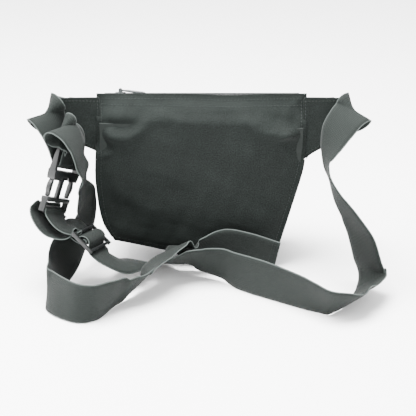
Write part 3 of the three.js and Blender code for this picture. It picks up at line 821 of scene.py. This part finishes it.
LEFT_ROUTE = [
  [-114, -29.5, 152.5, 0, 0.02, 1],
  [-122, -29.5, 153, -0.02, 0.05, 1],
  [-130, -29.3, 154, -0.03, 0.06, 1],
  [-132.5, -29.5, 154.8, -0.03, 0.12, 0.99],
  [-138.5, -33, 158.5, 0.1, 0.6, 0.75],
  [-142.8, -41, 163, 0.36, 0.77, 0.53],
  [-143, -48.5, 164.8, 0.46, 0.76, 0.46],
  [-139.9, -52.5, 160.4, 0.46, 0.82, 0.35],
  [-134.9, -55.6, 150.6, 0.47, 0.86, 0.18],
  [-131.4, -56, 140, 0.44, 0.88, 0],
  [-128, -50.5, 124.7, 0.36, 0.84, -0.4],
  [-127.2, -53.1, 119.8, 0.36, 0.84, -0.4],
  [-128, -54.6, 116.1, 0.36, 0.84, -0.4],
  [-127.8, -55.7, 113.9, 0.36, 0.84, -0.4],
  [-126.3, -56.8, 112.9, 0.36, 0.84, -0.4],
  [-124.4, -57.4, 113.4, 0.36, 0.84, -0.4],
  [-122.9, -57.2, 115.2, 0.36, 0.84, -0.4],
  [-121.5, -55.6, 119.8, 0.36, 0.84, -0.4],
  [-119.5, -53.4, 126.1, 0.36, 0.84, -0.4],
  [-117.4, -51.3, 132.5, 0.36, 0.84, -0.4],
  [-119.5, -54.5, 141.5, 0.46, 0.86, -0.2],
  [-125.3, -58.5, 148.6, 0.5, 0.84, -0.1],
  [-129, -61.3, 153.2, 0.55, 0.83, -0.03],
  [-127.2, -63.6, 155, 0.52, 0.85, -0.04],
  [-122.6, -65.4, 153.4, 0.46, 0.88, -0.05],
  [-117.4, -67.7, 148.2, 0.39, 0.91, -0.13],
  [-113.5, -68.3, 140.7, 0.31, 0.93, -0.19],
  [-111.1, -68.8, 132.5, 0.22, 0.96, -0.18],
  [-109.71, -66.03, 123.14, 0.12, 0.96, -0.27],
  [-108.3, -60.62, 110.12, 0, 0.95, -0.32],
  [-110.61, -55.6, 97.68, 0, 0.94, -0.35],
  [-112.21, -50.21, 82.81, 0.08, 0.93, -0.36],
  [-111.43, -33.72, 66.48, 0.26, 0.88, -0.38],
  [-114.79, -28.35, 45.16, 0.48, 0.82, -0.32],
  [-126.83, -47.89, 28.52, 0.7, 0.62, -0.35],
  [-133.9, -74.7, 21.08, 0.51, 0.46, -0.73],
  [-138.01, -101.75, 19.38, 0.15, 0.2, -0.96],
  [-140.2, -119, 19.6, -0.04, -0.11, -0.99],
  [-136.9, -127.6, 19.3, -0.07, -0.36, -0.93],
  [-125.2, -142.2, 19.4, -0.04, -0.3, -0.95],
  [-109, -154.3, 19.5, 0, -0.1, -0.99],
  [-95.1, -154.2, 19.5, 0.01, 0.1, -1],
  [-81.8, -141.4, 18.2, 0, 0.39, -0.92],
  [-71.7, -127, 15.8, -0.09, 0.57, -0.82],
  [-61.7, -116.4, 18.5, -0.1, 0.72, -0.69],
  [-53.9, -109.3, 20.5, -0.1, 0.82, -0.56],
  [-51.1, -103.7, 21.2, -0.21, 0.86, -0.47],
  [-48.1, -99.8, 25.1, -0.38, 0.8, -0.47],
  [-43.8, -94, 28.2, -0.45, 0.79, -0.42],
  [-37.3, -83.2, 30.7, -0.46, 0.83, -0.32],
  [-31, -74.9, 33.1, -0.39, 0.85, -0.36],
  [-24.5, -66.4, 33.9, -0.27, 0.87, -0.41],
  [-19.1, -59.1, 34, -0.18, 0.89, -0.42],
  [-9, -54.3, 26.9, 0, 0.62, -0.79],
  [5.6, -51.4, 25.5, 0.01, 0.35, -0.94],
  [22.1, -48.4, 28, 0.03, 0.02, -1],
  [30, -48.2, 28.2, 0.03, 0.02, -1],
  [48.8, -52.3, 25.6, 0, 0.02, -1],
  [74, -60.6, 20, -0.08, 0, -1],

]
RIGHT_ROUTE = [
  [114, -29.5, 152.5, 0, -0.02, -1],
  [123, -29.5, 153, 0.01, -0.02, -1],
  [131, -29.5, 153.8, 0.02, -0.05, -1],
  [136, -29.6, 155.2, 0.04, -0.15, -0.98],
  [139, -30, 157, 0.2, -0.62, -0.75],
  [144.8, -39, 163, 0.4, -0.8, -0.45],
  [144.8, -45, 165.8, 0.47, -0.82, -0.34],
  [137.1, -53.4, 162.1, 0.57, -0.77, -0.29],
  [127.4, -59, 149.5, 0.57, -0.8, -0.2],
  [121.2, -62.1, 133.6, 0.33, -0.94, 0.1],
  [119.2, -65.5, 122, 0.09, -0.97, 0.22],
  [120, -70, 114, -0.02, -0.95, 0.32],
  [122.3, -73.9, 106.4, -0.04, -0.95, 0.3],
  [130.1, -80.6, 90.2, 0.17, -0.92, 0.36],
  [141, -87.3, 74.4, 0.38, -0.88, 0.28],
  [150.6, -87.5, 57.1, 0.56, -0.8, 0.21],
  [158.2, -86.8, 32.8, 0.58, -0.78, 0.24],
  [163, -85, 17.8, 0.55, -0.78, 0.31],
  [162.1, -93.3, 12.9, 0.49, -0.78, 0.4],
  [156.6, -110.2, 11.3, 0.39, -0.76, 0.52],
  [148.3, -124.3, 10.9, 0.15, -0.84, 0.52],
  [140.3, -137, 11.9, 0.03, -0.82, 0.58],
  [131.1, -145.5, 15, -0.05, -0.67, 0.74],
  [119.1, -149, 17.4, -0.09, -0.5, 0.86],
  [107.8, -141.9, 18.6, -0.06, -0.37, 0.93],
  [97.5, -133.9, 19.2, -0.05, -0.27, 0.96],
  [66, -108.5, 19.7, 0, 0, 1],
  [48, -95, 19.7, 0, 0, 1],
  [34, -84, 19.7, 0, -0.05, 1],
  [22.5, -74.5, 21.8, 0.03, -0.3, 0.96],
  [5.8, -69, 22.7, -0.01, -0.47, 0.88],
  [-9, -67, 23.8, 0, -0.69, 0.73],
  [-26.29, -63.27, 18.75, -0.01, -0.87, 0.49],
  [-47.54, -42.64, 8.83, -0.04, -0.91, 0.41],
  [-60.69, -50.07, 13.51, -0.02, -0.94, 0.34],
  [-72.34, -70.95, 21.92, 0, -0.97, 0.2],
  [-82, -83.5, 29.5, -0.08, -0.98, 0.1],
  [-91.8, -84.6, 36.4, -0.31, -0.93, 0.19],
  [-96.6, -82.1, 40.8, -0.31, -0.93, 0.19],
  [-98, -80.9, 44, -0.31, -0.93, 0.19],
  [-97, -80.5, 47.7, -0.31, -0.93, 0.19],
  [-96.9, -79.8, 51.3, -0.31, -0.93, 0.19],
  [-98.8, -78.6, 54.2, -0.31, -0.93, 0.19],
  [-101.8, -77.3, 55.6, -0.31, -0.93, 0.19],
  [-105.3, -76.2, 55, -0.31, -0.93, 0.19],
  [-108.7, -75.4, 53.3, -0.31, -0.93, 0.19],
  [-112, -74.1, 54.4, -0.31, -0.93, 0.19],
  [-117.7, -71.2, 59.1, -0.31, -0.93, 0.19],
  [-124.5, -75, 61.5, -0.36, -0.9, 0.25],
  [-131, -75.5, 66, -0.38, -0.87, 0.3],
  [-136.4, -71.6, 72.6, -0.36, -0.84, 0.4],
  [-136, -70, 76.3, -0.36, -0.84, 0.4],
  [-137, -69.9, 75.4, -0.36, -0.84, 0.4],
  [-138.9, -69.3, 75.1, -0.36, -0.84, 0.4],
  [-140.4, -68.2, 76, -0.36, -0.84, 0.4],
  [-140.5, -67.2, 78, -0.36, -0.84, 0.4],
  [-140.4, -65.7, 81.3, -0.36, -0.84, 0.4],
  [-145.3, -65.4, 79, -0.36, -0.84, 0.4],
  [-148.7, -69.3, 73.7, -0.37, -0.84, 0.38],
  [-146, -76.5, 67, -0.4, -0.87, 0.28],
  [-138, -78, 59.2, -0.4, -0.87, 0.26],
  [-127.5, -76.5, 54.6, -0.37, -0.9, 0.23],
  [-118.2, -71.8, 55.6, -0.31, -0.93, 0.19],
  [-112.1, -74.7, 51.4, -0.31, -0.93, 0.19],
  [-106.8, -77, 48.9, -0.31, -0.93, 0.19],
  [-103.9, -78.1, 48.1, -0.31, -0.93, 0.19],
  [-101.6, -79, 47.6, -0.31, -0.93, 0.19],
  [-100.2, -79.3, 48.5, -0.31, -0.93, 0.19],
  [-99.5, -79.1, 50.4, -0.31, -0.93, 0.19],
  [-100.3, -78.4, 52.3, -0.31, -0.93, 0.19],
  [-102.3, -77.6, 52.9, -0.31, -0.93, 0.19],

]


def through(rows: Sequence[Sequence[float]], count: int) -> np.ndarray:
    """A smooth curve through rows of a point and a width direction.

    Args:
        rows: Six numbers each.
        count: Steps between neighbouring rows.

    Returns:
        The curve's rows.
    """
    data = np.array(rows, float)
    data[:, 3:] *= (WEBBING_WIDTH / 2) / np.linalg.norm(data[:, 3:], axis=1, keepdims=True)
    full = np.concatenate([[2 * data[0] - data[1]], data, [2 * data[-1] - data[-2]]])

    def mix(p: np.ndarray, q: np.ndarray, t: float, start: float, end: float) -> np.ndarray:
        """Reads the straight line from p at start to q at end."""
        return (p * (end - t) + q * (t - start)) / (end - start)

    curve = []
    for i in range(1, len(full) - 2):
        p, q, r, s = full[i - 1 : i + 3]
        a = math.sqrt(np.linalg.norm(q - p))
        b = a + math.sqrt(np.linalg.norm(r - q))
        c = b + math.sqrt(np.linalg.norm(s - r))
        for k in range(count):
            t = a + (b - a) * k / count
            middle = mix(q, r, t, a, b)
            before = mix(mix(p, q, t, 0, a), middle, t, 0, b)
            curve.append(mix(before, mix(middle, mix(r, s, t, b, c), t, a, c), t, a, b))
    return np.array([*curve, data[-1]])


@dataclass
class Belt:
    """A flat belt of webbing laid along a route."""

    name: str
    route: Sequence[Sequence[float]]
    steps: int = 12
    across: int = 9
    frames: tuple[np.ndarray, np.ndarray, np.ndarray] | None = None

    def lay(self) -> None:
        """Works out the middle line, the width directions and the face directions."""
        rows = through(self.route, self.steps)
        points, widths = rows[:, :3], rows[:, 3:]
        ease = np.hanning(27) / np.hanning(27).sum()
        padded = np.pad(widths, ((13, 13), (0, 0)), "edge")
        widths = np.stack([np.convolve(padded[:, k], ease, "valid") for k in range(3)], 1)
        forward = np.gradient(points, axis=0)
        forward /= np.linalg.norm(forward, axis=1, keepdims=True)
        widths = widths - forward * np.sum(widths * forward, axis=1, keepdims=True)
        widths /= np.linalg.norm(widths, axis=1, keepdims=True)
        normal = np.cross(forward, widths)
        reach = np.abs(widths[:, 2]) * WEBBING_WIDTH + np.abs(normal[:, 2]) * WEBBING_THICK
        low = points[:, 2] - reach / 2
        points = points.copy()
        points[:, 2] += np.maximum(0.0, 0.4 - low)
        self.frames = (points, widths, normal)

    def at(self, side: float, out: float, first: float = 0.0, last: float = 1.0) -> np.ndarray:
        """A line along the belt.

        Args:
            side: From -1 on one edge to 1 on the other.
            out: From the middle of its thickness, in millimetres.
            first: The share of its length where the line starts.
            last: Where it ends.

        Returns:
            The line's points in millimetres.
        """
        points, widths, normal = self.frames
        line = points + widths * side * WEBBING_WIDTH / 2 + normal * out
        reach = np.concatenate([[0], np.cumsum(np.linalg.norm(np.diff(points, axis=0), axis=1))])
        kept = (reach >= first * reach[-1]) & (reach <= last * reach[-1])
        return line[kept]

    def length(self) -> float:
        """Its length in millimetres."""
        return float(np.linalg.norm(np.diff(self.frames[0], axis=0), axis=1).sum())

    def build(self) -> bpy.types.Object:
        """Makes the closed strip with rounded edges.

        Returns:
            The mesh object.
        """
        points, widths, normal = self.frames
        reach = np.concatenate([[0], np.cumsum(np.linalg.norm(np.diff(points, axis=0), axis=1))])
        half, thick = WEBBING_WIDTH / 2, WEBBING_THICK / 2
        sides = np.linspace(-1, 1, self.across)
        swell = np.where(np.abs(sides) > 0.99, 0.55, 1.0)
        profile = [(s * half, thick * k) for s, k in zip(sides, swell)]
        profile += [(s * half, -thick * k) for s, k in zip(sides[::-1], swell)]
        count = len(points)
        rings = [points + widths * a + normal * b for a, b in profile]
        co = np.concatenate(rings)
        flat = np.concatenate([np.stack([np.full(count, a + half), reach], 1) for a, _ in profile])
        faces = []
        total = len(profile)
        for k in range(total):
            a, b = k * count, ((k + 1) % total) * count
            faces += [[a + i, b + i, b + i + 1, a + i + 1] for i in range(count - 1)]
        faces.append([k * count for k in range(total)])
        faces.append([k * count + count - 1 for k in range(total)][::-1])
        return mesh_piece(self.name, co, faces, flat)


# ---- The bag's shape ----------------------------------------------------------------------

LEFT_SIDE = [[0, -84], [0.12, -94], [0.25, -97.5], [0.45, -100], [0.6, -99], [0.7, -98], [1, -98]]
RIGHT_SIDE = [[0, 68], [0.12, 76], [0.25, 82.5], [0.45, 92], [0.6, 99], [0.7, 101], [1, 102]]
FRONT = [[0, 31], [0.12, 37], [0.3, 41], [0.5, 40], [0.72, 33], [0.86, 16], [1, -1]]
TOP_FOLD, BACK_Y, RIDGE_Y = 0.86, -37.0, -22.5


def along(rows: Sequence[Sequence[float]], v: np.ndarray) -> np.ndarray:
    """Reads a softened line through rows of place and value.

    Args:
        rows: Place and value, in order.
        v: Where to read it.

    Returns:
        The values.
    """
    place, value = np.array(rows, float).T
    v = np.asarray(v, float)
    reach = 0.05 * np.clip(8 * v * (1 - v), 0, 1)
    return sum(np.interp(v + shift * reach, place, value) for shift in (-1, -0.5, 0, 0.5, 1)) / 5


def lift_at(x: np.ndarray) -> np.ndarray:
    """How far the slumped bottom edge stands off the table at x, in millimetres."""
    t = np.clip((32 - np.asarray(x, float)) / 118, 0, 1)
    return 30 * (t + 0.07 * np.sin(math.pi * t))


def spot(u: np.ndarray, v: np.ndarray) -> tuple[np.ndarray, np.ndarray]:
    """Where a point of the bag's outline falls.

    Args:
        u: From 0 at the left side to 1 at the right.
        v: From 0 at the bottom to 1 at the top.

    Returns:
        Its x and z in millimetres.
    """
    x = along(LEFT_SIDE, v) * (1 - u) + along(RIGHT_SIDE, v) * u
    low = lift_at(x)
    return x, low + (BAG_HEIGHT - low) * v


def back_y(v: np.ndarray) -> np.ndarray:
    """The back panel's y at height v, in millimetres."""
    return BACK_Y + (RIDGE_Y - BACK_Y) * smooth(v, TOP_FOLD, 1)


def pucker(x: np.ndarray, z: np.ndarray, side: int) -> np.ndarray:
    """The fold that runs from a wing's seam towards the middle, with the hollow above it.

    Args:
        x: In millimetres.
        z: In millimetres.
        side: -1 for the left and 1 for the right.

    Returns:
        How far the cloth stands towards the wearer, in millimetres.
    """
    t = np.clip((100 + side * -x) / 62, 0, 1)
    if side < 0:
        line = 143 - 6 * np.sin(math.pi * np.clip(t * 1.15, 0, 1)) + 11 * smooth(t, 0.55, 1)
        ridge = bump(z, line, 6.5) * (1 - smooth(x, -74, -24))
        return ridge * 4.2 - bump(z, line + 12, 7.5) * (1 - smooth(x, -78, -40)) * 4.6
    line = 139 + 3 * t + 12 * smooth(t, 0.6, 1)
    ridge = bump(z, line, 6.0) * smooth(x, 30, 74)
    return ridge * 4.2 - bump(z, line + 12, 8) * smooth(x, 36, 80) * 4.8


def creases(x: np.ndarray, z: np.ndarray) -> np.ndarray:
    """The back panel's smaller folds, in millimetres towards the wearer."""
    by_right_wing = bump(z, 128 + 0.5 * (x - 60), 3.5) * 1.3
    by_right_wing *= smooth(x, 48, 70) * (1 - smooth(x, 84, 98))
    over_middle = bump(z, 150 - 0.25 * x, 4) * bump(x, -30, 26) * 1.4
    under_left_wing = bump(z, 116 + 0.35 * (x + 98), 3.2) * (1 - smooth(x, -94, -74)) * 2.6
    sag = bump(z, 60, 26) * 1.3 * np.sin((x + 20) / 46)
    under_zip = bump(z, 163, 3.6) * 1.5 * smooth(x, -40, -22) * (1 - smooth(x, 40, 62))
    at_base = bump(z, 22 + 0.12 * np.abs(x), 8) * 1.2 - bump(z, 12, 5)
    return by_right_wing + over_middle + under_left_wing + sag + under_zip + at_base


def back_relief(u: np.ndarray, v: np.ndarray) -> np.ndarray:
    """The padding's swell, the puckers by the wings and the soft wrinkles of the back.

    Args:
        u: Across the panel.
        v: Up the panel.

    Returns:
        How far the cloth stands towards the wearer, in millimetres.
    """
    x, z = spot(u, v)
    rim = np.minimum(np.minimum(u, 1 - u) * 9, np.minimum(v * 8, (1 - v) * 14))
    puffed = 2.4 * smooth(rim, 0, 1.0) - 1.2
    waves = 1.0 * ripple(x, z * 1.8, 62, 3) + 0.45 * ripple(x, z, 21, 8) + 0.15 * ripple(x, z, 9, 15)
    return puffed + (waves + pucker(x, z, -1) + pucker(x, z, 1) + creases(x, z)) * smooth(rim, 0, 0.6)


def wing_surface(inner: float, outer: float, low: float, y: float, way: int) -> Surface:
    """One layer of a wing.

    Args:
        inner: The x of its seam with the bag, in millimetres.
        outer: The x of its tip.
        low: The height of its lower corner at the bag.
        y: Where it starts from, away from the webbing.
        way: -1 if it lies on the wearer's side of the webbing, and 1 if on the other.

    Returns:
        Its surface.
    """

    def place(u: np.ndarray, v: np.ndarray) -> np.ndarray:
        """A point of the wing: v upwards."""
        out = u if (inner > 0) == (way < 0) else 1 - u
        x = inner + (outer - inner) * out
        bottom = low + (FOOT_OF_WINGTIP - low) * out**0.8
        z = bottom + (TOP_OF_WINGS - bottom) * v
        soft = 0.9 * ripple(x, z, 17, 41) * np.clip(9 * np.minimum(v, 1 - v), 0, 1) * (1 - out)
        return np.stack([x, y + way * (2.6 * out**3 + 0.8 * np.abs(soft)), z], -1)

    return place


@dataclass
class Shell:
    """The bag: padded back, front, top, sides, base, pocket and the seams between them."""

    finishes: Finishes
    rows: Rows
    seams: dict[str, np.ndarray] = field(default_factory=dict)

    def panel(self, node: str, place: Surface, columns: int, rows: int) -> bpy.types.Object:
        """Makes one fabric panel in place of a CAD node.

        Args:
            node: The CAD node it replaces.
            place: Gives points for arrays of u and v.
            columns: Points along u.
            rows: Points along v.

        Returns:
            The panel.
        """
        cloth = Cloth.over(place, columns, rows)
        obj = cloth.piece(node + "_cloth", FABRIC)
        self.seams[node] = cloth.points
        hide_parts(node)
        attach(obj, "pack")
        LOG.info("%s: %d faces", obj.name, len(obj.data.polygons))
        return self.finishes.on(obj, "body", "body_fabric")

    def back(self) -> None:
        """The padded back panel, with a stitched fold along its top."""

        def place(u: np.ndarray, v: np.ndarray) -> np.ndarray:
            """A point of the back: u to the right, v upwards."""
            x, z = spot(u, v)
            dip = 1.6 * bump(x, 28, 26) * smooth(v, 0.93, 1)
            # The upper corners draw back to where the wings are sewn on.
            corner = smooth(v, 0.6, 0.72) * (1 - smooth(np.minimum(u, 1 - u), 0.0, 0.09)) * 3.6
            rise = 3.4 * smooth(v, 0.93, 1)
            y = back_y(v) - back_relief(u, v) + corner * (1 - smooth(v, 0.9, 1))
            return np.stack([x, y, z - dip + rise + 0.4 * (1 - v)], -1)

        self.panel("back_panel", place, 210, 170)

    def walls(self) -> None:
        """The front panel, the band above it and the two gussets."""

        def wall(low: float, high: float) -> Surface:
            """The front wall between two shares of its height."""

            def at(u: np.ndarray, v: np.ndarray) -> np.ndarray:
                """A point of the wall: u to the left, v upwards."""
                w = low + (high - low) * v
                x, _ = spot(1 - u, w)
                rim = np.clip(np.minimum(np.minimum(u, 1 - u) * 9, np.minimum(v, 1 - v) * 9), 0, 1)
                relief = 0.8 * ripple(x, w * 250, 54, 11) + 0.3 * ripple(x, w * 170, 19, 12)
                low_z = 0.8 + 0.7 * lift_at(x) * (1 - smooth(w, 0, 0.7))
                z = low_z + (BAG_HEIGHT - low_z) * w
                return np.stack([x, along(FRONT, w) + relief * rim - 0.6, z], -1)

            return at

        self.panel("front_panel", wall(0.01, 0.71), 150, 90)
        self.panel("top_panel", wall(0.72, 0.97), 150, 44)
        for side, way in (("left", 1), ("right", -1)):

            def gusset(u: np.ndarray, v: np.ndarray, way: int = way) -> np.ndarray:
                """A point of the gusset: v upwards."""
                w = u if way < 0 else 1 - u
                t = 0.02 + 0.88 * v
                x, z = spot(np.full(np.shape(t), 0.0 if way > 0 else 1.0), t)
                near = back_y(t) + BACK_LAYERS
                far = np.maximum(along(FRONT, z / BAG_HEIGHT) - 5.4, near + 1)
                puff = 1.3 * ripple(w * 60, z, 34, 21 + way) * np.sin(math.pi * w) * np.sin(math.pi * v)
                return np.stack([x + way * (0.9 + np.abs(puff)), near + (far - near) * w, z + 1], -1)

            self.panel(side + "_gusset", gusset, 50, 100)

        def base(u: np.ndarray, v: np.ndarray) -> np.ndarray:
            """A point of the base: u to the right, v to the back."""
            x = BASE_LEFT + BASE_WIDTH * u
            y = BASE_FRONT - BASE_DEPTH * v
            z = lift_at(x) * (1 - 0.3 * smooth(1 - v, 0, 0.72))
            return np.stack([x, y, z + 0.05 + 0 * u], -1)

        self.panel("base_panel", base, 90, 40)

    def pocket(self) -> None:
        """The front pocket's panel and the hood over its zip."""

        def panel(u: np.ndarray, v: np.ndarray) -> np.ndarray:
            """A point of the pocket: u to the left, v upwards."""
            x = POCKET_RIGHT - POCKET_WIDTH * u
            z = POCKET_LOW + POCKET_HEIGHT * v + 0.6 * lift_at(x) * (1 - v)
            swell = np.sin(math.pi * np.minimum(v, 0.9)) ** 0.5 * np.sin(math.pi * u) ** 0.35
            relief = 0.9 * ripple(x, z * 1.3, 40, 31) * np.sin(math.pi * u) * np.sin(math.pi * v)
            y = along(FRONT, z / BAG_HEIGHT) + 2.3 + POCKET_STAND * swell + relief
            return np.stack([x, y, z], -1)

        def hood(u: np.ndarray, v: np.ndarray) -> np.ndarray:
            """A point of the hood: u to the left, v upwards."""
            x, z = POCKET_RIGHT - POCKET_WIDTH * u, HOOD_LOW + HOOD_HEIGHT * v
            seat = along(FRONT, z / BAG_HEIGHT) + 2.3
            return np.stack([x, np.maximum(47.4, seat) * (1 - v) + seat * v, z], -1)

        self.panel("pocket_panel", panel, 130, 90)
        self.panel("pocket_hood", hood, 110, 20)

    def wings(self) -> None:
        """Each wing's two layers, sewn over the end of its belt."""
        wings = (("left", -98.8, -131.0, 119.0), ("right", 102.8, 135.0, 112.0))
        layers = (("rear", -30.65, 0.0, 4.3, -1), ("front", -28.35, 8.0, 0.0, 1))
        for side, root, tip, low in wings:
            for layer, y, short, tucked, way in layers:
                inner = root - math.copysign(tucked, root)
                outer = tip - math.copysign(short, tip)
                surface = wing_surface(inner, outer, low, y, way)
                self.panel(f"{side}_wing_{layer}", surface, 60, 60)

    def trims(self) -> None:
        """Rolled seams along the edges, and the stitching beside them."""
        back = self.seams["back_panel"]
        rim = {
            "left": back[4:118, 0],
            "right": back[4:112, -1],
            "bottom": back[0, 3:-3],
        }
        for key, line in rim.items():
            shift = np.array([0.0, 1.4, 1.2 if key == "bottom" else 0.0])
            obj = tube("seam_" + key, line + shift, 1.1)
            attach(obj, "pack")
            self.finishes.on(obj, "trim", "body_fabric")
        stitch = [
            back[6:-6, 5] + [0, -0.12, 0],
            back[6:-6, -6] + [0, -0.12, 0],
            back[5, 6:-6] + [0, -0.12, 0],
            back[-5, 6:-6] + [0, -0.15, 0.1],
            back[-9, 6:-6] + [0, -0.15, 0.1],
        ]
        for side in ("left", "right"):
            wing = self.seams[f"{side}_wing_rear"]
            out = [0, -0.12, 0]
            sides = [wing[3:-3, -4], wing[3:-3, 3]]
            if side == "right":
                sides.reverse()
            stitch += [line + out for line in (*sides, wing[3, 3:-3], wing[-4, 3:-3])]
            edge = tube(f"{side}_wing_binding", wing[0, 1:-1] + [0, 0.9, -0.4], 1.2)
            self.finishes.on(edge, "trim", "body_fabric")
            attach(edge, "pack")
            top = tube(f"{side}_wing_top_binding", wing[-1, 1:-1] + [0, 0.9, 0.0], 1.0)
            self.finishes.on(top, "trim", "body_fabric")
            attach(top, "pack")
        size = (0.55, 0.4, 2.3)
        self.rows.set("panel_stitching", stitch, Repeat.STITCH, "thread", "body_fabric", 3.1, size)
        front = self.seams["front_panel"]
        top = self.seams["top_panel"]
        pocket = self.seams["pocket_panel"]
        out = [0, 0.12, 0]
        lines = [front[-4, 4:-4] + out, top[3, 4:-4] + out, top[-4, 4:-4] + [0, 0.1, 0.12]]
        around = (pocket[3:-3, 3], pocket[3:-3, -4], pocket[3, 4:-4], pocket[-4, 4:-4])
        lines += [line + out for line in around]
        self.rows.set("front_stitching", lines, Repeat.STITCH, "thread", "body_fabric", 3.1, size, 9)
        ridge = tube("front_seam", (front[-1, 1:-1] + top[0, 1:-1]) / 2, 1.3)
        self.finishes.on(ridge, "trim", "body_fabric")
        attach(ridge, "pack")

    def build(self) -> None:
        """Makes the whole bag."""
        self.back()
        self.walls()
        self.pocket()
        self.wings()
        self.trims()
        for node in ("back_foam", "back_lining"):
            self.finishes.dress(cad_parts[node], "lining")


@dataclass
class Zip:
    """A closed zip: two woven tapes, two rows of teeth, its slider and puller."""

    finishes: Finishes
    rows: Rows
    prefix: str
    origin: tuple[float, float, float]
    tilt: float
    half: float

    def build(self) -> None:
        """Makes the teeth and dresses the rest."""
        c, s = math.cos(self.tilt), math.sin(self.tilt)
        for row, sign in (("rear", -1), ("front", 1)):
            x = np.linspace(-self.half + 3, self.half - 3, 120)
            q = np.full_like(x, sign * 1.25)
            line = np.stack([x, q * c, q * s], -1) + self.origin
            name, size = f"{self.prefix}_teeth_{row}", (1.3, 1.3, 0.95)
            teeth = self.rows.set(name, [line], Repeat.TOOTH, "coil", "zip_coil", 1.3, size, 7)
            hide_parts(f"{self.prefix}_coil_{row}")
            self.finishes.dress(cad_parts[f"{self.prefix}_tape_{row}"], "tape")
        for part in ("stop_left", "stop_right", "slider", "puller"):
            obj = softened(f"{self.prefix}_{part}_rounded", f"{self.prefix}_{part}", 0.18)
            self.finishes.on(obj, "metal", "zip_metal")


@dataclass
class Hardware:
    """The side-release buckle and the strap adjuster."""

    finishes: Finishes

    def build(self) -> None:
        """Rounds the moulded parts' edges and dresses them."""
        plug = ("buckle_plug", "plug_arm_far", "plug_arm_near")
        for node in ("buckle_receiver", *plug, "strap_adjuster"):
            obj = softened(node + "_rounded", node, 0.35, 3)
            self.finishes.on(obj, "plastic", "plastic")


@dataclass
class Belts:
    """The two belts with their hems."""

    finishes: Finishes
    rows: Rows

    def build(self) -> None:
        left = Belt("belt_left_webbing", LEFT_ROUTE)
        right = Belt("belt_right_webbing", RIGHT_ROUTE)
        for belt, node in ((left, "belt_left"), (right, "belt_right")):
            belt.lay()
            obj = belt.build()
            self.finishes.on(obj, "webbing", "webbing")
            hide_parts(node)
            if belt is right:
                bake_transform(obj)
            else:
                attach(obj, "pack")
            belt.length() * MM
            LOG.info("%s: %.0f mm", belt.name, belt.length())
        hem = []
        for out in (0.85, -0.85):
            for back in (3.0, 6.0):
                share = 1 - back / left.length()
                sides = np.linspace(-0.9, 0.9, 12)
                hem.append(np.array([left.at(side, out, share - 0.01, share)[-1] for side in sides]))
        size = (0.6, 0.35, 2.0)
        self.rows.set("belt_hem_stitching", hem, Repeat.STITCH, "thread", "webbing", 2.6, size, 3)


CAMERA_PLACE = (0.006, -1.16, 0.5145)
CAMERA_TILT = 68.0
LENS = 107.0
PACK_MIDDLE = (0, -0.02, 0.08)
FLOOR_REACH = 6
# Each lamp's name, place, size and power.
LAMPS = (
    ("overhead", (-0.2, -0.12, 1.4), 0.9, 150.0),
    ("left_side", (-1.3, -0.3, 0.9), 1.2, 30.0),
    ("front_fill", (0.9, -1.5, 1.0), 1.6, 7.0),
)


def place_camera() -> None:
    """Sets the camera behind the wearer's side of the pack, looking down a little."""
    camera = bpy.data.objects.new("camera", bpy.data.cameras.new("camera"))
    camera.data.lens = LENS
    camera.data.sensor_width = 36.0
    camera.location = CAMERA_PLACE
    camera.rotation_euler = (math.radians(CAMERA_TILT), 0, 0)
    bpy.context.scene.collection.objects.link(camera)
    bpy.context.scene.camera = camera


def set_stage() -> None:
    """Lays a plain pale floor and hangs soft studio lights."""
    scene, r = bpy.context.scene, FLOOR_REACH
    floor = bpy.data.meshes.new("floor")
    floor.from_pydata([(-r, -r, 0), (r, -r, 0), (r, r, 0), (-r, r, 0)], [], [(0, 1, 2, 3)])
    pale = bpy.data.materials.new("floor")
    pale.use_nodes = True
    shader = pale.node_tree.nodes["Principled BSDF"]
    shader.inputs["Base Color"].default_value = (0.97, 0.97, 0.97, 1)
    shader.inputs["Roughness"].default_value = 0.9
    floor.materials.append(pale)
    props = [bpy.data.objects.new("floor", floor)]
    for name, at, size, power in LAMPS:
        data = bpy.data.lights.new(name, "AREA")
        data.size = size
        data.energy = power
        lamp = bpy.data.objects.new(name, data)
        lamp.location = at
        aim = Vector(PACK_MIDDLE) - Vector(at)
        lamp.rotation_euler = aim.to_track_quat("-Z", "Y").to_euler()
        props.append(lamp)
    for prop in props:
        scene.collection.objects.link(prop)
    world = bpy.data.worlds.new("world")
    world.use_nodes = True
    world.node_tree.nodes["Background"].inputs["Color"].default_value = (1, 1, 1, 1)
    world.node_tree.nodes["Background"].inputs["Strength"].default_value = 2.5
    scene.world = world


def main() -> None:
    """Builds the pack's looks."""
    logging.basicConfig(level=logging.INFO, format="%(name)s: %(message)s")
    place_camera()
    set_stage()
    finishes = Finishes()
    finishes.make()
    rows = Rows(finishes)
    Hardware(finishes).build()
    Belts(finishes, rows).build()
    Shell(finishes, rows).build()
    Zip(finishes, rows, "main_zip", (2.0, -10.0, 170.6), -0.12, 94.0).build()
    Zip(finishes, rows, "pocket_zip", (-3.0, 48.4, 97.0), -math.pi / 2, 60.0).build()


if __name__ == "__main__":
    main()
